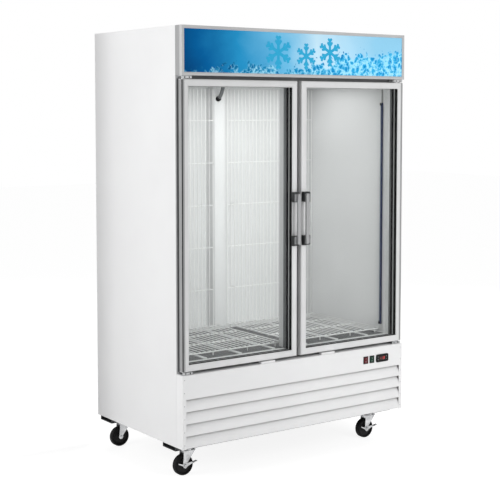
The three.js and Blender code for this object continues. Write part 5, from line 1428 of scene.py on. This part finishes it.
boot = draw_turned("hose_boot", (HOSE_END_X, hose_end, hose_top - 0.0730), Y, [
    (0, -0.0002), (0.0140, -0.0002), (0.0138, -0.0050), (0.0120, -0.0100), (0.0105, -0.0170),
    (0, -0.0170)], 24)
dress(boot, black_rubber, "seal")

# ----
# Back guards and floor racks: round steel wires welded into grids and dipped in white nylon.
# They keep the ice off the back wall and the floor.

WIRE = 0.002
GUARD_WIRES = 25
RACK_WIRES = 21
RACK_WIRE = 0.0025
BEARER = 0.0035
BEARERS = 4
LEG_INSET = 0.023
LEG_SPACING = 0.1
GUARD_ROW_HEIGHTS = (0.764, 0.988, 1.212, 1.436, 1.660)

wire_white = surface(
    "white nylon wire", (0.86, 0.86, 0.855), (0.92, 0.92, 0.915), (0.32, 0.45), cloud=30.0,
    grain=700.0, relief=0.08)

low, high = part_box("right_back_guard")
first_x, last_x = low.x + WIRE, high.x - WIRE
pitch = (last_x - first_x) / (GUARD_WIRES - 1)
upright = draw_rod(
    "upright", (first_x, low.y + WIRE, low.z), (first_x, low.y + WIRE, high.z), WIRE, 8)
guard = [in_a_row(upright, GUARD_WIRES, (pitch, 0, 0))]
cross_y = low.y + 3 * WIRE - 0.0005
for row, height in enumerate(GUARD_ROW_HEIGHTS):
    z = height + WIRE
    guard.append(draw_rod("cross", (low.x, cross_y, z), (high.x, cross_y, z), WIRE, 8))
    if row % 2 == 0:
        for x in (first_x + 2.5 * pitch, last_x - 2.5 * pitch):
            guard.append(draw_rod("peg", (x, cross_y, z), (x, high.y, z), WIRE, 8))
dress_pair(join_all("right_guard_wires", guard), wire_white, "white_wire", "right_back_guard")

low, high = rack_low, rack_high
first_x, last_x = low.x + RACK_WIRE, high.x - RACK_WIRE
wire_z = high.z - RACK_WIRE
fine = draw_rod("fine", (first_x, low.y, wire_z), (first_x, high.y, wire_z), RACK_WIRE, 8)
rack = [in_a_row(fine, RACK_WIRES, ((last_x - first_x) / (RACK_WIRES - 1), 0, 0))]
bearer_z = high.z - 2 * RACK_WIRE - BEARER + 0.0005
first_y, last_y = low.y + BEARER, high.y - BEARER
for number in range(BEARERS):
    y = first_y + number * (last_y - first_y) / (BEARERS - 1)
    rack.append(draw_rod("bearer", (low.x, y, bearer_z), (high.x, y, bearer_z), BEARER, 12))
middle = (low.x + high.x) / 2
for x in (low.x + LEG_INSET, middle - LEG_SPACING, middle + LEG_SPACING, high.x - LEG_INSET):
    for y in (first_y, last_y):
        rack.append(draw_rod(
            "leg", (x, y, low.z + 0.0012), (x, y, bearer_z), BEARER * 0.8, 12))
dress_pair(join_all("right_rack_wires", rack), wire_white, "white_wire", "right_floor_rack")

# ----
# Cooling unit: a white sheet tray under the ceiling with a fan that draws air up through its
# floor.

fan_plastic = surface(
    "grey fan plastic", (0.05, 0.052, 0.055), (0.08, 0.082, 0.086), (0.45, 0.6), cloud=25.0)
refinish("evaporator_housing", liner_white)
refinish("evaporator_fan", fan_plastic)

# ----
# Machine room behind the louvres: a finned condenser with its fan, the compressor on four
# rubber feet, and a slotted sheet at the back.

refinish("condenser_coil", surface(
    "aluminium fins", (0.30, 0.305, 0.31), (0.42, 0.425, 0.43), (0.4, 0.55), metal=0.85,
    cloud=30.0, grain=900.0, relief=0.2))
refinish("condenser_fan", fan_plastic)
refinish("compressor", surface(
    "black enamel", (0.010, 0.010, 0.011), (0.018, 0.018, 0.019), (0.25, 0.38), cloud=14.0,
    grain=300.0, relief=0.1))
refinish("rear_grille", white_coat)

size = {"cad": [list(cad_low), list(cad_high)], "visual": [list(v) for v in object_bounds()]}
